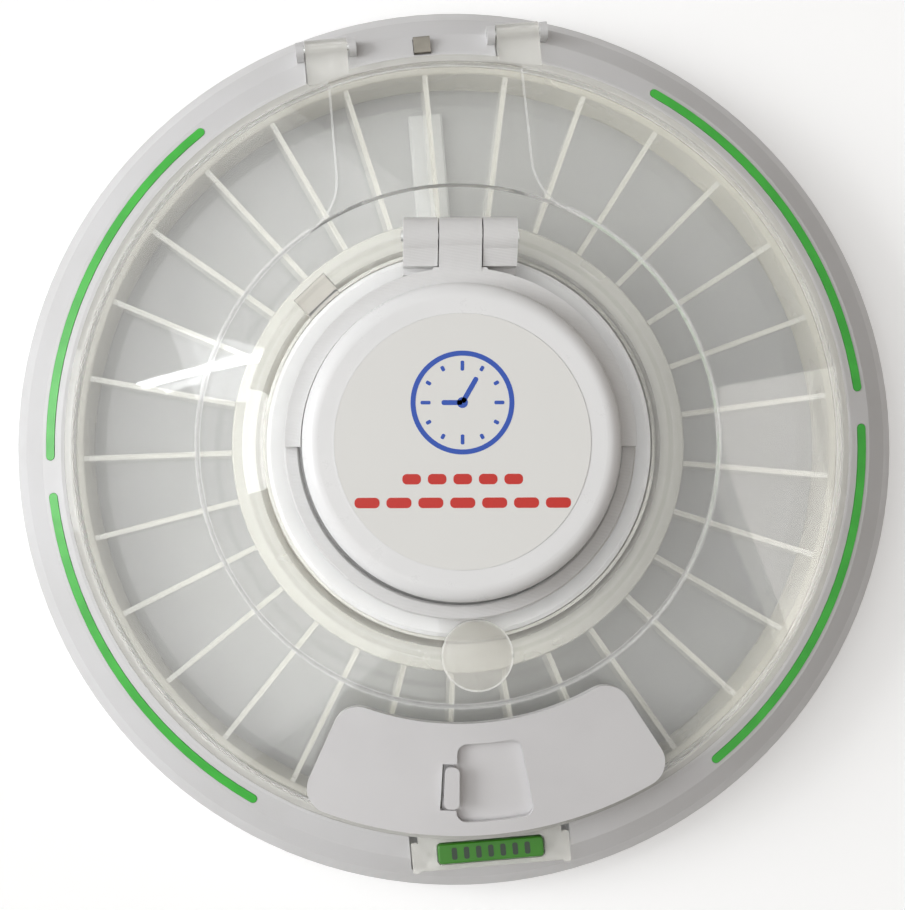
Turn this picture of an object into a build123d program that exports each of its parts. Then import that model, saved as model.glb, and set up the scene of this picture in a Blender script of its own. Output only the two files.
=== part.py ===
from build123d import *
import os
from math import acos, asin, cos, degrees, pi, radians, sin, tan

# Electronic pill box: a round carousel dispenser under a clear hinged lid.
# Millimetres. The origin is under the middle of the feet, +Z up, +Y to the lid hinge at the back.
# The front, -Y, has the lid latch and the dose window.
# Four sizes drive the rest: the base's radius, the gear ring, the cells and the height of the lip.

os.makedirs("parts", exist_ok=True)

# Fits
GAP = 0.3  # between bodies that move past each other
SEAT_GAP = 0.1  # between nested pieces of one body
PIN_PLAY = 0.05  # radial play of a pin in its bore
EASY_GAP = 0.6  # where a corner or a tooth passes a wall
OVERLAP = 1.0  # how far a cutting shape runs past what it cuts
REACH = 12.0  # depth of a cutting block that opens a wall
THROUGH = 80.0  # longer than any cut that goes right through

# White ring round the lid, from its widest line inwards
BASE_RADIUS = 107.5
SKIRT_RADIUS = BASE_RADIUS - 2.9
SHOULDER_RADIUS = BASE_RADIUS - 3.7
BROW_RADIUS = BASE_RADIUS - 8.3
LIP_TOP_RADIUS = BASE_RADIUS - 13.1
RING_WALL = 1.9
WELL_WALL = 1.6
LIP_Z = 24.0
WAIST_Z = LIP_Z / 2
SHOULDER_Z = LIP_Z - 5.4
BROW_Z = LIP_Z - 1.6
LEDGE_Z = LIP_Z - 3.0
SHELF_Z = LIP_Z - 3.6

# Feet and bottom
FOOT_HEIGHT = 1.5
FOOT_RADIUS = 5.0
FOOT_CIRCLE = BASE_RADIUS - 23.5
FOOT_COUNT = 4
COVER_THICK = 2.0
COVER_RADIUS = SKIRT_RADIUS - 2.2
COVER_EASE = 0.5
COVER_BOTTOM = FOOT_HEIGHT
COVER_TOP = COVER_BOTTOM + COVER_THICK
SCREW_CIRCLE = BASE_RADIUS - 9.3
SCREW_ANGLES = (20.0, 89.2, 160.0)
SCREW_RADIUS = 1.3
SCREW_HEAD_RADIUS = 2 * SCREW_RADIUS
SCREW_HEAD_THICK = 1.4
SCREW_SLOT = 0.8
SCREW_LENGTH = 9.0
BOSS_RADIUS = SCREW_RADIUS + 1.5

# Light bars in the ring
BAR_CIRCLE = BASE_RADIUS - 10.4
BAR_WIDTH = 2.1
BAR_DEPTH = 1.3
BAR_PROUD = 0.15
BAR_BLANK = 6.0  # height of the block that a bar is cut from
BAR_NEAR = 34.2
BAR_MIDDLE_REAR = 86.3
BAR_MIDDLE_FRONT = 92.2
BAR_FAR = 145.0
LED_BOARD_WIDTH = BAR_WIDTH + 0.9
LED_BOARD_THICK = 1.0
LED_BOARD_SHORT = 2.0  # degrees that a lamp board ends before its bar

# Well that holds the tray, and the lid's seat on the ring
LID_RADIUS = BASE_RADIUS - 14.5
LEDGE_RADIUS = LID_RADIUS + 2 * GAP
WELL_RADIUS = LID_RADIUS - 1.8
WELL_OUTER = WELL_RADIUS + WELL_WALL
FLOOR_THICK = 1.6
FLOOR_TOP = COVER_TOP + 3.5
FLOOR_BOTTOM = FLOOR_TOP - FLOOR_THICK
RIB_COUNT = 12
RIB_WIDTH = 1.6

# Internal gear ring that turns the tray, and its pinion
GEAR_MODULE = 1.0
RING_TEETH = 84
PINION_TEETH = 14
PRESSURE_ANGLE = 25.0
ADDENDUM = 0.8 * GEAR_MODULE
DEDENDUM = 1.05 * GEAR_MODULE
BACKLASH = 0.2
RING_PITCH_RADIUS = GEAR_MODULE * RING_TEETH / 2
PINION_PITCH_RADIUS = GEAR_MODULE * PINION_TEETH / 2
PINION_Y = PINION_PITCH_RADIUS - RING_PITCH_RADIUS
DRIVE_HEIGHT = 4.3
DRIVE_BOTTOM = FLOOR_TOP + GAP
DRIVE_TOP = DRIVE_BOTTOM + DRIVE_HEIGHT
DRIVE_RING_RADIUS = RING_PITCH_RADIUS + 4.0
DRIVE_FLANGE_RADIUS = DRIVE_RING_RADIUS + 4.0
DRIVE_FLANGE_THICK = 1.6
PINION_BOTTOM = DRIVE_BOTTOM + GAP / 2
PINION_HEIGHT = DRIVE_HEIGHT - GAP
DOG_RADIAL = 1.4
DOG_HEAD_HEIGHT = 2.6

# Tray with its compartments
COMPARTMENTS = 29
PITCH = 360 / COMPARTMENTS
TRAY_BOTTOM = FLOOR_TOP + 3.0
TRAY_FLOOR_THICK = 1.2
TRAY_FLOOR_TOP = TRAY_BOTTOM + TRAY_FLOOR_THICK
TRAY_RADIUS = WELL_RADIUS - 1.0
TRAY_WALL = 1.8
TRAY_INNER = TRAY_RADIUS - TRAY_WALL
DIVIDER_THICK = 1.2
DIVIDER_HEADROOM = 1.0
COLLAR_WALL = 1.3
TRAY_ROUND = 0.3
NOTCH_ANGLE = 128.3
NOTCH_WIDTH = 9.6
NOTCH_DEPTH = 3.3
DOG_WIDTH = NOTCH_WIDTH - 1.2

# White cover over the wires in the well
DUCT_WIDTH = 8.3
DUCT_HEIGHT = 2.2
DUCT_INNER = DRIVE_FLANGE_RADIUS + 1.0
DUCT_OUTER = TRAY_RADIUS - 7.2
DUCT_WALL = 1.0
WIRE_RADIUS = 0.5
WIRE_SPACING = 1.5
WIRE_COUNT = 4

# Battery box in the middle of the bottom
CELL_RADIUS = 5.25
CELL_LENGTH = 44.5
CELL_COUNT = 4
CELL_PLAY = 0.2
CELL_NUB = 0.8
CELL_NUB_RADIUS = 1.8
CONTACT_THICK = 0.5
CONTACT_HEIGHT = 7.0
BOX_WALL = 1.2
BOX_CHAMFER = 0.8
DOOR_THICK = 1.8
GRIP_LENGTH = 14.0
GRIP_WIDTH = 1.0
GRIP_PITCH = 2.2
GRIP_COUNT = 3
GRIP_DEPTH = 0.6
GRIP_INSET = 7.0
CELL_PITCH = 2 * (CELL_RADIUS + CELL_PLAY)
CELL_Z = COVER_TOP + CELL_RADIUS + 2 * CELL_PLAY
BOX_INNER_X = CELL_COUNT * CELL_PITCH / 2
BOX_INNER_Y = CELL_LENGTH / 2 + CONTACT_THICK + 2 * CELL_PLAY
BOX_OUTER_X = BOX_INNER_X + BOX_WALL
BOX_OUTER_Y = BOX_INNER_Y + BOX_WALL
BOX_TOP = CELL_Z + CELL_RADIUS + CELL_PLAY + BOX_WALL

# Motor, on two pillars over the battery box
MOTOR_RADIUS = 12.0
MOTOR_HEIGHT = 10.4
MOTOR_CHAMFER = 0.6
MOTOR_BOTTOM = BOX_TOP + 1.4
SHAFT_OFFSET = PINION_PITCH_RADIUS
MOTOR_Y = PINION_Y + SHAFT_OFFSET
MOTOR_BOSS_RADIUS = 2.9
MOTOR_BOSS_HEIGHT = 1.5
MOTOR_EAR_REACH = MOTOR_RADIUS + 3.5
MOTOR_EAR_WIDTH = 6.0
MOTOR_EAR_THICK = 1.0
MOTOR_PILLAR_RADIUS = 2.4
MOTOR_SCREW_RADIUS = 1.0
SHAFT_RADIUS = 1.5
SHAFT_DEPTH = 5.0

# Board, display and buttons in the hub
BOARD_THICK = 1.6
BOARD_BOTTOM = MOTOR_BOTTOM + MOTOR_HEIGHT + 0.4
BOARD_TOP = BOARD_BOTTOM + BOARD_THICK
DISPLAY_WIDTH = 36.0
DISPLAY_DEPTH = 20.0
DISPLAY_THICK = 2.2
DISPLAY_FACE = 0.6
WINDOW_WIDTH = DISPLAY_WIDTH - 5.0
WINDOW_DEPTH = DISPLAY_DEPTH - 6.0
WINDOW_THICK = 1.2
WINDOW_LEDGE = 1.2
WINDOW_CORNER = 1.4
DISPLAY_Y = 9.0
BUTTON_RADIUS = 3.8
BUTTON_PITCH = 14.0
BUTTON_Y = DISPLAY_Y - 22.0
BUTTON_PROUD = 1.2
BUTTON_TRAVEL = 0.8
BUTTON_FLANGE = 0.9
BUTTON_LIP = 1.0
SWITCH_SIZE = 6.0
SWITCH_THICK = 0.9
SWITCH_PLUNGER = 1.6
CHIP_SIZE = 7.0
CHIP_THICK = 1.2
BUZZER_RADIUS = 6.0
BUZZER_HEIGHT = 5.0
BUZZER_HOLE = 1.2
CHIP_SPOTS = ((-20.0, -26.0), (22.0, -22.0), (-28.0, 4.0))
BOARD_NOTCH = (26.0, 8.0)
POST_RADIUS = 2.4
POST_Y_FRONT = -14.0
POST_Y_BACK = 20.0
BOARD_SCREW_RADIUS = 1.0

# Hub under the middle of the lid
HUB_RADIUS = RING_PITCH_RADIUS + 2.5
HUB_WALL = 1.8
HUB_CHAMFER = 1.0
HUB_FOOT_RADIUS = RING_PITCH_RADIUS - 2.0
HUB_STEP_Z = DRIVE_TOP + 3.4
DECK_THICK = 2.0
DECK_TOP = BOARD_TOP + 5.4
DECK_BOTTOM = DECK_TOP - DECK_THICK
BOARD_RADIUS = HUB_RADIUS - 4.5
POST_X = BOARD_RADIUS - 10.0
BUZZER_X = BOARD_RADIUS - 12.0

# Clear lid
LID_BOTTOM = LEDGE_Z + GAP
LID_WALL = 1.4
LID_THICK = 1.8
LID_EDGE_RADIUS = LID_RADIUS - 1.5
LID_EDGE_Z = LIP_Z + 3.5
LID_SLOPE = 0.175
STEP_HEIGHT = 0.8
NECK_RADIUS = HUB_RADIUS + 5.5
STEP_SHARE = 0.2578  # place of the step between the neck and the lid's edge
STEP_RADIUS = NECK_RADIUS + (LID_EDGE_RADIUS - NECK_RADIUS) * STEP_SHARE
FLANGE_OUTER = HUB_RADIUS + 0.5
FLANGE_TOP = DECK_TOP + 3.5
FLANGE_THICK = 1.5
TONGUE_HALF = 23.0
TONGUE_FILLET = 14.0

# Lid hinge
HINGE_Y = LID_RADIUS + 4.2
HINGE_Z = LIP_Z + 0.6
TAB_X = 22.8
TAB_WIDTH = 10.0
TAB_ROOT = 3.4
NOTCH_HALF = TAB_WIDTH / 2 + 0.4
BARREL_RADIUS = 2.2
LID_PIN_RADIUS = 0.9
EAR_RADIUS = 2.0
EAR_WIDTH = 1.8
EAR_DEPTH = 6.2
NOTCH_OUTER_Y = HINGE_Y + BARREL_RADIUS + 0.8
NOTCH_FLOOR = HINGE_Z - BARREL_RADIUS - 0.9
LID_PIN_LENGTH = 2 * (NOTCH_HALF + EAR_WIDTH)
BLADE_Y = LID_RADIUS + 3.2
BLADE_SIZE = 4.0
BLADE_THICK = 0.8
BLADE_BOTTOM = LIP_Z - 2.4
BLADE_HEIGHT = 3.4

# Latch at the front
BUTTON_BAR_LENGTH = 25.3
BUTTON_BAR_DEPTH = 4.8
BUTTON_BAR_CORNER = 1.0
BUTTON_BAR_Y = -(LID_RADIUS + 3.4)
BUTTON_BAR_TOP = LIP_Z + 1.0
BUTTON_BAR_HEIGHT = 6.4
POCKET_HALF = BUTTON_BAR_LENGTH / 2 + 6.55
POCKET_FLOOR = LIP_Z - 8.5
POCKET_WALL = 1.6
POCKET_OUTER_Y = -(LID_RADIUS + 7.6)
FRAME_HALF = POCKET_HALF - 2.0
FRAME_WALL = 1.1
FRAME_BOTTOM = LIP_Z - 1.4
FRAME_THICK = 1.6
HOOK_WIDTH = 2.4
HOOK_DROP = 3.0
HOOK_DEPTH = 1.6
HOOK_TOE = 0.9
HOOK_TOE_HEIGHT = 0.8
CATCH_PLAY = 0.15
CATCH_THICK = 1.4
CATCH_TONGUE = 1.2
CATCH_LEG = 1.0
CATCH_INSET = 0.2

# Dose window on the lid
PLATE_ANGLE = 29.0
PLATE_INNER = STEP_RADIUS + 3.7
PLATE_OUTER = LID_EDGE_RADIUS - 0.2
PLATE_CORNER = 6.0
PLATE_HEIGHT = 3.4
PLATE_ROOF = 1.5
OPENING_INNER = PLATE_INNER + 4.8
OPENING_OUTER = PLATE_OUTER - 3.3
OPENING_LEFT = -5.1
OPENING_RIGHT = 7.0
OPENING_CORNER = 2.4
OUTLET_MARGIN = 1.2
SHUTTER_THICK = 1.2
SHUTTER_LAP = 1.0
SHUTTER_CORNER = 1.3
TRACK_EASE = 1.0
SHUTTER_LEFT = -7.4
SHUTTER_RIGHT = 8.2
SHUTTER_TRAVEL = 11.5
TAB_MIDDLE = (OPENING_INNER + OPENING_OUTER) / 2 + 1.0
TAB_LENGTH = (OPENING_OUTER - OPENING_INNER) * 0.53
TAB_ANGLE = 2.5
TAB_CORNER = 1.4
TAB_EASE = 0.3
TAB_HEIGHT = 1.6

# Hinged cap over the hub
CAP_TURN = -4.75
CAP_RADIUS = HUB_RADIUS - 9.0
YOKE_INNER = CAP_RADIUS + 0.5
YOKE_OUTER = YOKE_INNER + 3.6
YOKE_HEIGHT = 3.4
YOKE_FLANGE_INNER = CAP_RADIUS - 9.5
YOKE_FLANGE_THICK = 1.2
YOKE_SPREAD = 1.0
MOUNT_INNER = YOKE_INNER + 0.6
MOUNT_OUTER = MOUNT_INNER + 3.4
MOUNT_HEIGHT = 2.6
MOUNT_TOP = FLANGE_TOP + MOUNT_HEIGHT
FLANGE_INNER = MOUNT_INNER - SEAT_GAP
YOKE_BOTTOM = MOUNT_TOP + GAP
YOKE_TOP = YOKE_BOTTOM + YOKE_HEIGHT
CAP_BASE_THICK = 1.4
CAP_BASE_BOTTOM = YOKE_BOTTOM + YOKE_FLANGE_THICK
CAP_SHELL_BOTTOM = CAP_BASE_BOTTOM + CAP_BASE_THICK
CAP_TOP = CAP_SHELL_BOTTOM + 8.6
CAP_WALL = 1.6
CAP_ROUND = 3.6
CAP_CHAMFER = 0.4
YOKE_JOIN = 0.2
LABEL_RADIUS = CAP_RADIUS - 7.3
LABEL_THICK = 0.3
KNUCKLE_RADIUS = 4.2
KNUCKLE_Y = MOUNT_OUTER + 6.8
KNUCKLE_Z = YOKE_BOTTOM + 2.1
SIDE_KNUCKLE = 7.7
MID_KNUCKLE = 9.6
ARM_FLARE = 2.4
ARM_FLARE_LENGTH = 2.0
CAP_PIN_RADIUS = 1.25
CAP_PIN_PROUD = 0.5
TAG_BOARD_RADIUS = LABEL_RADIUS - 1.2
TAG_BOARD_THICK = 1.0
COIN_RADIUS = 10.0
COIN_THICK = 3.2
COIN_Y = -8.0
TAG_CHIP_SPOTS = ((-13.0, 12.0), (14.0, 12.0))
TAG_CHIP = (6.0, 5.0, 1.2)

# Reading lens
LENS_RADIUS = 8.2
LENS_CENTRE = NECK_RADIUS - 1.5
LENS_RIM_Z = FLANGE_TOP + 0.9
LENS_DOME = 1.9
LENS_RIM = 1.0

# Directions, as angles from +X
FRONT = 270
BACK = 90


def lid_top(radius):
    """Height of the lid's outer slope at a radius."""
    return LID_EDGE_Z + (LID_EDGE_RADIUS - radius) * LID_SLOPE


# Collar round the hub, just under the lid's middle
COLLAR_INNER = HUB_RADIUS + 2.5
COLLAR_OUTER = COLLAR_INNER + 5.6
COLLAR_TOP = lid_top(COLLAR_OUTER) - LID_THICK - DIVIDER_HEADROOM
NOTCH_OUTER = COLLAR_OUTER - 1.8


def ring_top(radius):
    """Height of the white ring's inner slope at a radius."""
    share = (radius - LIP_TOP_RADIUS) / (BROW_RADIUS - LIP_TOP_RADIUS)
    return LIP_Z + (BROW_Z - LIP_Z) * share


def section(points):
    """Closed half section on the XZ plane, as radius and height pairs."""
    with BuildSketch(Plane.XZ) as face:
        with BuildLine():
            Polyline(*points, close=True)
        make_face()
    return face.sketch


def sector(inner, outer, start, end, corner=0.0):
    """Piece of a ring between two angles from +X, with rounded corners."""
    with BuildSketch() as face:
        with BuildLine():
            far = CenterArc((0, 0), outer, start, end - start)
            near = CenterArc((0, 0), inner, start, end - start)
            Line(far @ 0, near @ 0)
            Line(far @ 1, near @ 1)
        make_face()
        if corner > 0:
            fillet(face.vertices(), corner)
    return face.sketch


def slope_layer(low, high, inner, outer):
    """Conical layer that follows the lid's outer slope, between two heights above it."""
    points = [
        (inner, lid_top(inner) + low),
        (outer, lid_top(outer) + low),
        (outer, lid_top(outer) + high),
        (inner, lid_top(inner) + high),
    ]
    with BuildPart() as layer:
        revolve(section(points), axis=Axis.Z)
    return layer.part


def involute_angle(base, radius):
    """Roll-off angle of an involute at a radius, in radians."""
    slant = acos(base / radius)
    return tan(slant) - slant


def gear_outline(teeth, root, tip, thickness, plane):
    """Gear outline whose teeth have the given thickness on the pitch circle."""
    pitch_radius = GEAR_MODULE * teeth / 2
    base = pitch_radius * cos(radians(PRESSURE_ANGLE))
    start = max(root, base + 0.001)
    levels = [start + (tip - start) * step / 3 for step in range(4)]
    half = thickness / 2 / pitch_radius + involute_angle(base, pitch_radius)
    flank = [(level, half - involute_angle(base, level)) for level in levels]
    if root < start:
        flank.insert(0, (root, flank[0][1]))
    points = []
    for tooth in range(teeth):
        middle = 2 * pi * tooth / teeth
        for radius, angle in flank:
            points.append((radius * cos(middle - angle), radius * sin(middle - angle)))
        for radius, angle in reversed(flank):
            points.append((radius * cos(middle + angle), radius * sin(middle + angle)))
    with BuildSketch(plane) as face:
        with BuildLine():
            Polyline(*points, close=True)
        make_face()
    return face.sketch


# White ring: a domed shell with an inner wall, a ledge for the lid and a flat shelf for the lights
ring_outline = [
    (COVER_RADIUS + COVER_EASE, COVER_BOTTOM),
    (SKIRT_RADIUS, COVER_BOTTOM),
    (BASE_RADIUS, WAIST_Z),
    (SHOULDER_RADIUS, SHOULDER_Z),
    (BROW_RADIUS, BROW_Z),
    (LIP_TOP_RADIUS, LIP_Z),
    (LEDGE_RADIUS, LIP_Z),
    (LEDGE_RADIUS, LEDGE_Z),
    (WELL_RADIUS, LEDGE_Z),
    (WELL_RADIUS, FLOOR_TOP),
    (WELL_OUTER, FLOOR_TOP),
    (WELL_OUTER, SHELF_Z),
    (BROW_RADIUS - 0.4, SHELF_Z),
    (SHOULDER_RADIUS - RING_WALL, SHOULDER_Z - RING_WALL),
    (BASE_RADIUS - RING_WALL, WAIST_Z),
]
bar_spans = {
    "light_bar_rear_right": (BACK - BAR_MIDDLE_REAR, BACK - BAR_NEAR),
    "light_bar_rear_left": (BACK + BAR_NEAR, BACK + BAR_MIDDLE_REAR),
    "light_bar_front_left": (BACK + BAR_MIDDLE_FRONT, BACK + BAR_FAR),
    "light_bar_front_right": (BACK - BAR_FAR, BACK - BAR_MIDDLE_FRONT),
}


def bar_layer(low, high, margin):
    """Conical band that follows the ring's slope where the light bars lie."""
    inner = BAR_CIRCLE - BAR_WIDTH - margin
    outer = BAR_CIRCLE + BAR_WIDTH + margin
    points = [
        (inner, ring_top(inner) + low),
        (outer, ring_top(outer) + low),
        (outer, ring_top(outer) + high),
        (inner, ring_top(inner) + high),
    ]
    with BuildPart() as layer:
        revolve(section(points), axis=Axis.Z)
    return layer.part


def bar_outline(span, width):
    """Curved slot with round ends, a little longer than its centre line."""
    start, end = span
    path = CenterArc((0, 0), BAR_CIRCLE, start, end - start)
    with BuildSketch(Plane.XY.offset(SHELF_Z - OVERLAP)) as face:
        SlotArc(path, width)
    return face.sketch


with BuildPart() as bar_grooves:
    for bar_span in bar_spans.values():
        extrude(bar_outline(bar_span, BAR_WIDTH + 2 * SEAT_GAP), amount=BAR_BLANK)
    add(bar_layer(-BAR_DEPTH - SEAT_GAP, BAR_BLANK / 2, OVERLAP), mode=Mode.INTERSECT)

screw_spots = [
    Location((SCREW_CIRCLE * sin(radians(angle * side)), SCREW_CIRCLE * cos(radians(angle))))
    for angle in SCREW_ANGLES
    for side in (-1, 1)
]

# The ring as a solid, from its skirt to the lid's seat
envelope_outline = ring_outline[1:8] + [(WELL_OUTER, LEDGE_Z), (WELL_OUTER, COVER_BOTTOM)]
with BuildPart() as ring_envelope:
    revolve(section(envelope_outline), axis=Axis.Z)

# Walls of the pocket for the latch, cut to the ring's own outline
with BuildPart() as pocket_walls:
    with Locations((0, POCKET_OUTER_Y - POCKET_WALL, POCKET_FLOOR - POCKET_WALL)):
        Box(
            2 * (POCKET_HALF + POCKET_WALL), REACH, REACH,
            align=(Align.CENTER, Align.MIN, Align.MIN),
        )
    add(ring_envelope.part, mode=Mode.INTERSECT)

with BuildPart() as pocket_space:
    with Locations((0, POCKET_OUTER_Y, POCKET_FLOOR)):
        Box(2 * POCKET_HALF, REACH, REACH, align=(Align.CENTER, Align.MIN, Align.MIN))
    Cylinder(LEDGE_RADIUS, THROUGH, mode=Mode.SUBTRACT)

with BuildPart() as outer_bezel:
    revolve(section(ring_outline), axis=Axis.Z)
    add(pocket_walls.part)
    add(pocket_space.part, mode=Mode.SUBTRACT)
    # Notches for the lid's hinge tabs, each with an ear on either side for the pin
    for side in (-1, 1):
        with Locations((side * TAB_X, NOTCH_OUTER_Y, NOTCH_FLOOR)):
            Box(
                2 * NOTCH_HALF, REACH, REACH,
                align=(Align.CENTER, Align.MAX, Align.MIN), mode=Mode.SUBTRACT,
            )
        for ear_side in (-1, 1):
            ear_x = side * TAB_X + ear_side * (NOTCH_HALF + EAR_WIDTH / 2)
            with Locations(Location((ear_x, HINGE_Y, HINGE_Z), (0, 90, 0))):
                Cylinder(EAR_RADIUS, EAR_WIDTH)
            with Locations((ear_x, HINGE_Y, HINGE_Z)):
                Box(
                    EAR_WIDTH, 2 * EAR_RADIUS, EAR_DEPTH,
                    align=(Align.CENTER, Align.CENTER, Align.MAX),
                )
        with Locations(Location((side * TAB_X, HINGE_Y, HINGE_Z), (0, 90, 0))):
            Cylinder(LID_PIN_RADIUS, LID_PIN_LENGTH + OVERLAP, mode=Mode.SUBTRACT)
    # Bosses for the screws of the bottom cover
    with BuildSketch(Plane.XY.offset(COVER_TOP)):
        with Locations(*screw_spots):
            Circle(BOSS_RADIUS)
            Circle(SCREW_RADIUS, mode=Mode.SUBTRACT)
    extrude(amount=SHELF_Z - COVER_TOP)
    # Grooves for the light bars and the slot for the sensor blade
    add(bar_grooves.part, mode=Mode.SUBTRACT)
    with Locations((0, BLADE_Y, BLADE_BOTTOM)):
        Box(
            BLADE_SIZE + 2 * SEAT_GAP, BLADE_SIZE + 2 * SEAT_GAP, REACH,
            align=(Align.CENTER, Align.CENTER, Align.MIN), mode=Mode.SUBTRACT,
        )
outer_bezel.part.label = "outer_bezel"
export_step(outer_bezel.part, "parts/outer_bezel.step")

for bar_name, bar_span in bar_spans.items():
    with BuildPart() as light_bar:
        extrude(bar_outline(bar_span, BAR_WIDTH), amount=BAR_BLANK)
        add(bar_layer(-BAR_DEPTH, BAR_PROUD, OVERLAP), mode=Mode.INTERSECT)
    light_bar.part.label = bar_name
    export_step(light_bar.part, f"parts/{bar_name}.step")

# A curved board of lamps under each light bar, against the ring's shelf
with BuildPart() as led_boards:
    with BuildSketch(Plane.XY.offset(SHELF_Z - LED_BOARD_THICK)):
        for start, end in bar_spans.values():
            board_start = start + LED_BOARD_SHORT
            board_sweep = end - LED_BOARD_SHORT - board_start
            board_path = CenterArc((0, 0), BAR_CIRCLE, board_start, board_sweep, mode=Mode.PRIVATE)
            SlotArc(board_path, LED_BOARD_WIDTH)
    extrude(amount=LED_BOARD_THICK)
led_boards.part.label = "led_boards"
export_step(led_boards.part, "parts/led_boards.step")

# Bent steel blade on the hinge line that feels the lid close
with BuildPart() as lid_sensor_blade:
    with Locations((0, BLADE_Y, BLADE_BOTTOM)):
        Box(BLADE_SIZE, BLADE_THICK, BLADE_HEIGHT, align=(Align.CENTER, Align.CENTER, Align.MIN))
    with Locations((0, BLADE_Y, BLADE_BOTTOM + BLADE_HEIGHT - BLADE_THICK)):
        Box(BLADE_SIZE, BLADE_SIZE, BLADE_THICK, align=(Align.CENTER, Align.CENTER, Align.MIN))
    blade_bends = lid_sensor_blade.edges().filter_by(Axis.X).group_by(Axis.Z)[-1]
    fillet(blade_bends, BLADE_THICK * 0.4)
lid_sensor_blade.part.label = "lid_sensor_blade"
export_step(lid_sensor_blade.part, "parts/lid_sensor_blade.step")

with BuildPart() as lid_hinge_pins:
    for side in (-1, 1):
        with Locations(Location((side * TAB_X, HINGE_Y, HINGE_Z), (0, 90, 0))):
            Cylinder(LID_PIN_RADIUS, LID_PIN_LENGTH)
lid_hinge_pins.part.label = "lid_hinge_pins"
export_step(lid_hinge_pins.part, "parts/lid_hinge_pins.step")

# Floor of the well, on radial ribs that stand on the bottom cover
with BuildPart() as well_floor:
    with BuildSketch(Plane.XY.offset(FLOOR_BOTTOM)):
        Circle(WELL_OUTER)
        Circle(HUB_FOOT_RADIUS + SEAT_GAP, mode=Mode.SUBTRACT)
    extrude(amount=FLOOR_THICK)
    with BuildSketch(Plane.XY.offset(COVER_TOP)):
        with PolarLocations((DRIVE_RING_RADIUS + WELL_RADIUS) / 2, RIB_COUNT):
            Rectangle(WELL_RADIUS - DRIVE_RING_RADIUS, RIB_WIDTH)
    extrude(amount=FLOOR_BOTTOM - COVER_TOP)
well_floor.part.label = "well_floor"
export_step(well_floor.part, "parts/well_floor.step")

# White cover over the wires that cross the well from the hub to the hinge side
duct_middle = (DUCT_INNER + DUCT_OUTER) / 2
duct_length = DUCT_OUTER - DUCT_INNER
with BuildPart() as wire_duct:
    with Locations((0, duct_middle, FLOOR_TOP)):
        Box(DUCT_WIDTH, duct_length, DUCT_HEIGHT, align=(Align.CENTER, Align.CENTER, Align.MIN))
    chamfer(wire_duct.edges().filter_by(Axis.Y).group_by(Axis.Z)[-1], DUCT_WALL / 2)
    with Locations((0, duct_middle, FLOOR_TOP)):
        Box(
            DUCT_WIDTH - 2 * DUCT_WALL, duct_length, DUCT_HEIGHT - DUCT_WALL,
            align=(Align.CENTER, Align.CENTER, Align.MIN), mode=Mode.SUBTRACT,
        )
wire_duct.part.label = "wire_duct"
export_step(wire_duct.part, "parts/wire_duct.step")

with BuildPart() as duct_wires:
    with Locations(Location((0, duct_middle, FLOOR_TOP + WIRE_RADIUS), (90, 0, 0))):
        with GridLocations(WIRE_SPACING, 1, WIRE_COUNT, 1):
            Cylinder(WIRE_RADIUS, duct_length)
duct_wires.part.label = "duct_wires"
export_step(duct_wires.part, "parts/duct_wires.step")

# Bottom cover with counterbored screw holes, pillars for the motor and the opening for the battery door
pillar_spots = [(-MOTOR_EAR_REACH, MOTOR_Y), (MOTOR_EAR_REACH, MOTOR_Y)]
with BuildPart() as bottom_cover:
    with BuildSketch(Plane.XY.offset(COVER_BOTTOM)):
        Circle(COVER_RADIUS)
        Rectangle(2 * (BOX_OUTER_X + GAP), 2 * (BOX_OUTER_Y + GAP), mode=Mode.SUBTRACT)
    extrude(amount=COVER_THICK)
    with BuildSketch(Plane.XY.offset(COVER_TOP)):
        with Locations(*pillar_spots):
            Circle(MOTOR_PILLAR_RADIUS)
    extrude(amount=MOTOR_BOTTOM - COVER_TOP)
    with BuildSketch(Plane.XY.offset(MOTOR_BOTTOM - SCREW_LENGTH)):
        with Locations(*pillar_spots):
            Circle(MOTOR_SCREW_RADIUS)
    extrude(amount=SCREW_LENGTH, mode=Mode.SUBTRACT)
    for hole_radius, hole_depth in (
        (SCREW_HEAD_RADIUS + SEAT_GAP, SCREW_HEAD_THICK), (SCREW_RADIUS + SEAT_GAP, COVER_THICK),
    ):
        with BuildSketch(Plane.XY.offset(COVER_BOTTOM)):
            with Locations(*screw_spots):
                Circle(hole_radius)
        extrude(amount=hole_depth, mode=Mode.SUBTRACT)
    chamfer(bottom_cover.edges().filter_by(GeomType.CIRCLE).sort_by(SortBy.RADIUS)[-1], 0.4)
bottom_cover.part.label = "bottom_cover"
export_step(bottom_cover.part, "parts/bottom_cover.step")

with BuildPart() as feet:
    with BuildSketch():
        with PolarLocations(FOOT_CIRCLE, FOOT_COUNT, start_angle=180 / FOOT_COUNT):
            Circle(FOOT_RADIUS)
    extrude(amount=FOOT_HEIGHT)
    chamfer(feet.edges().group_by(Axis.Z)[0], 0.3)
feet.part.label = "feet"
export_step(feet.part, "parts/feet.step")

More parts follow.
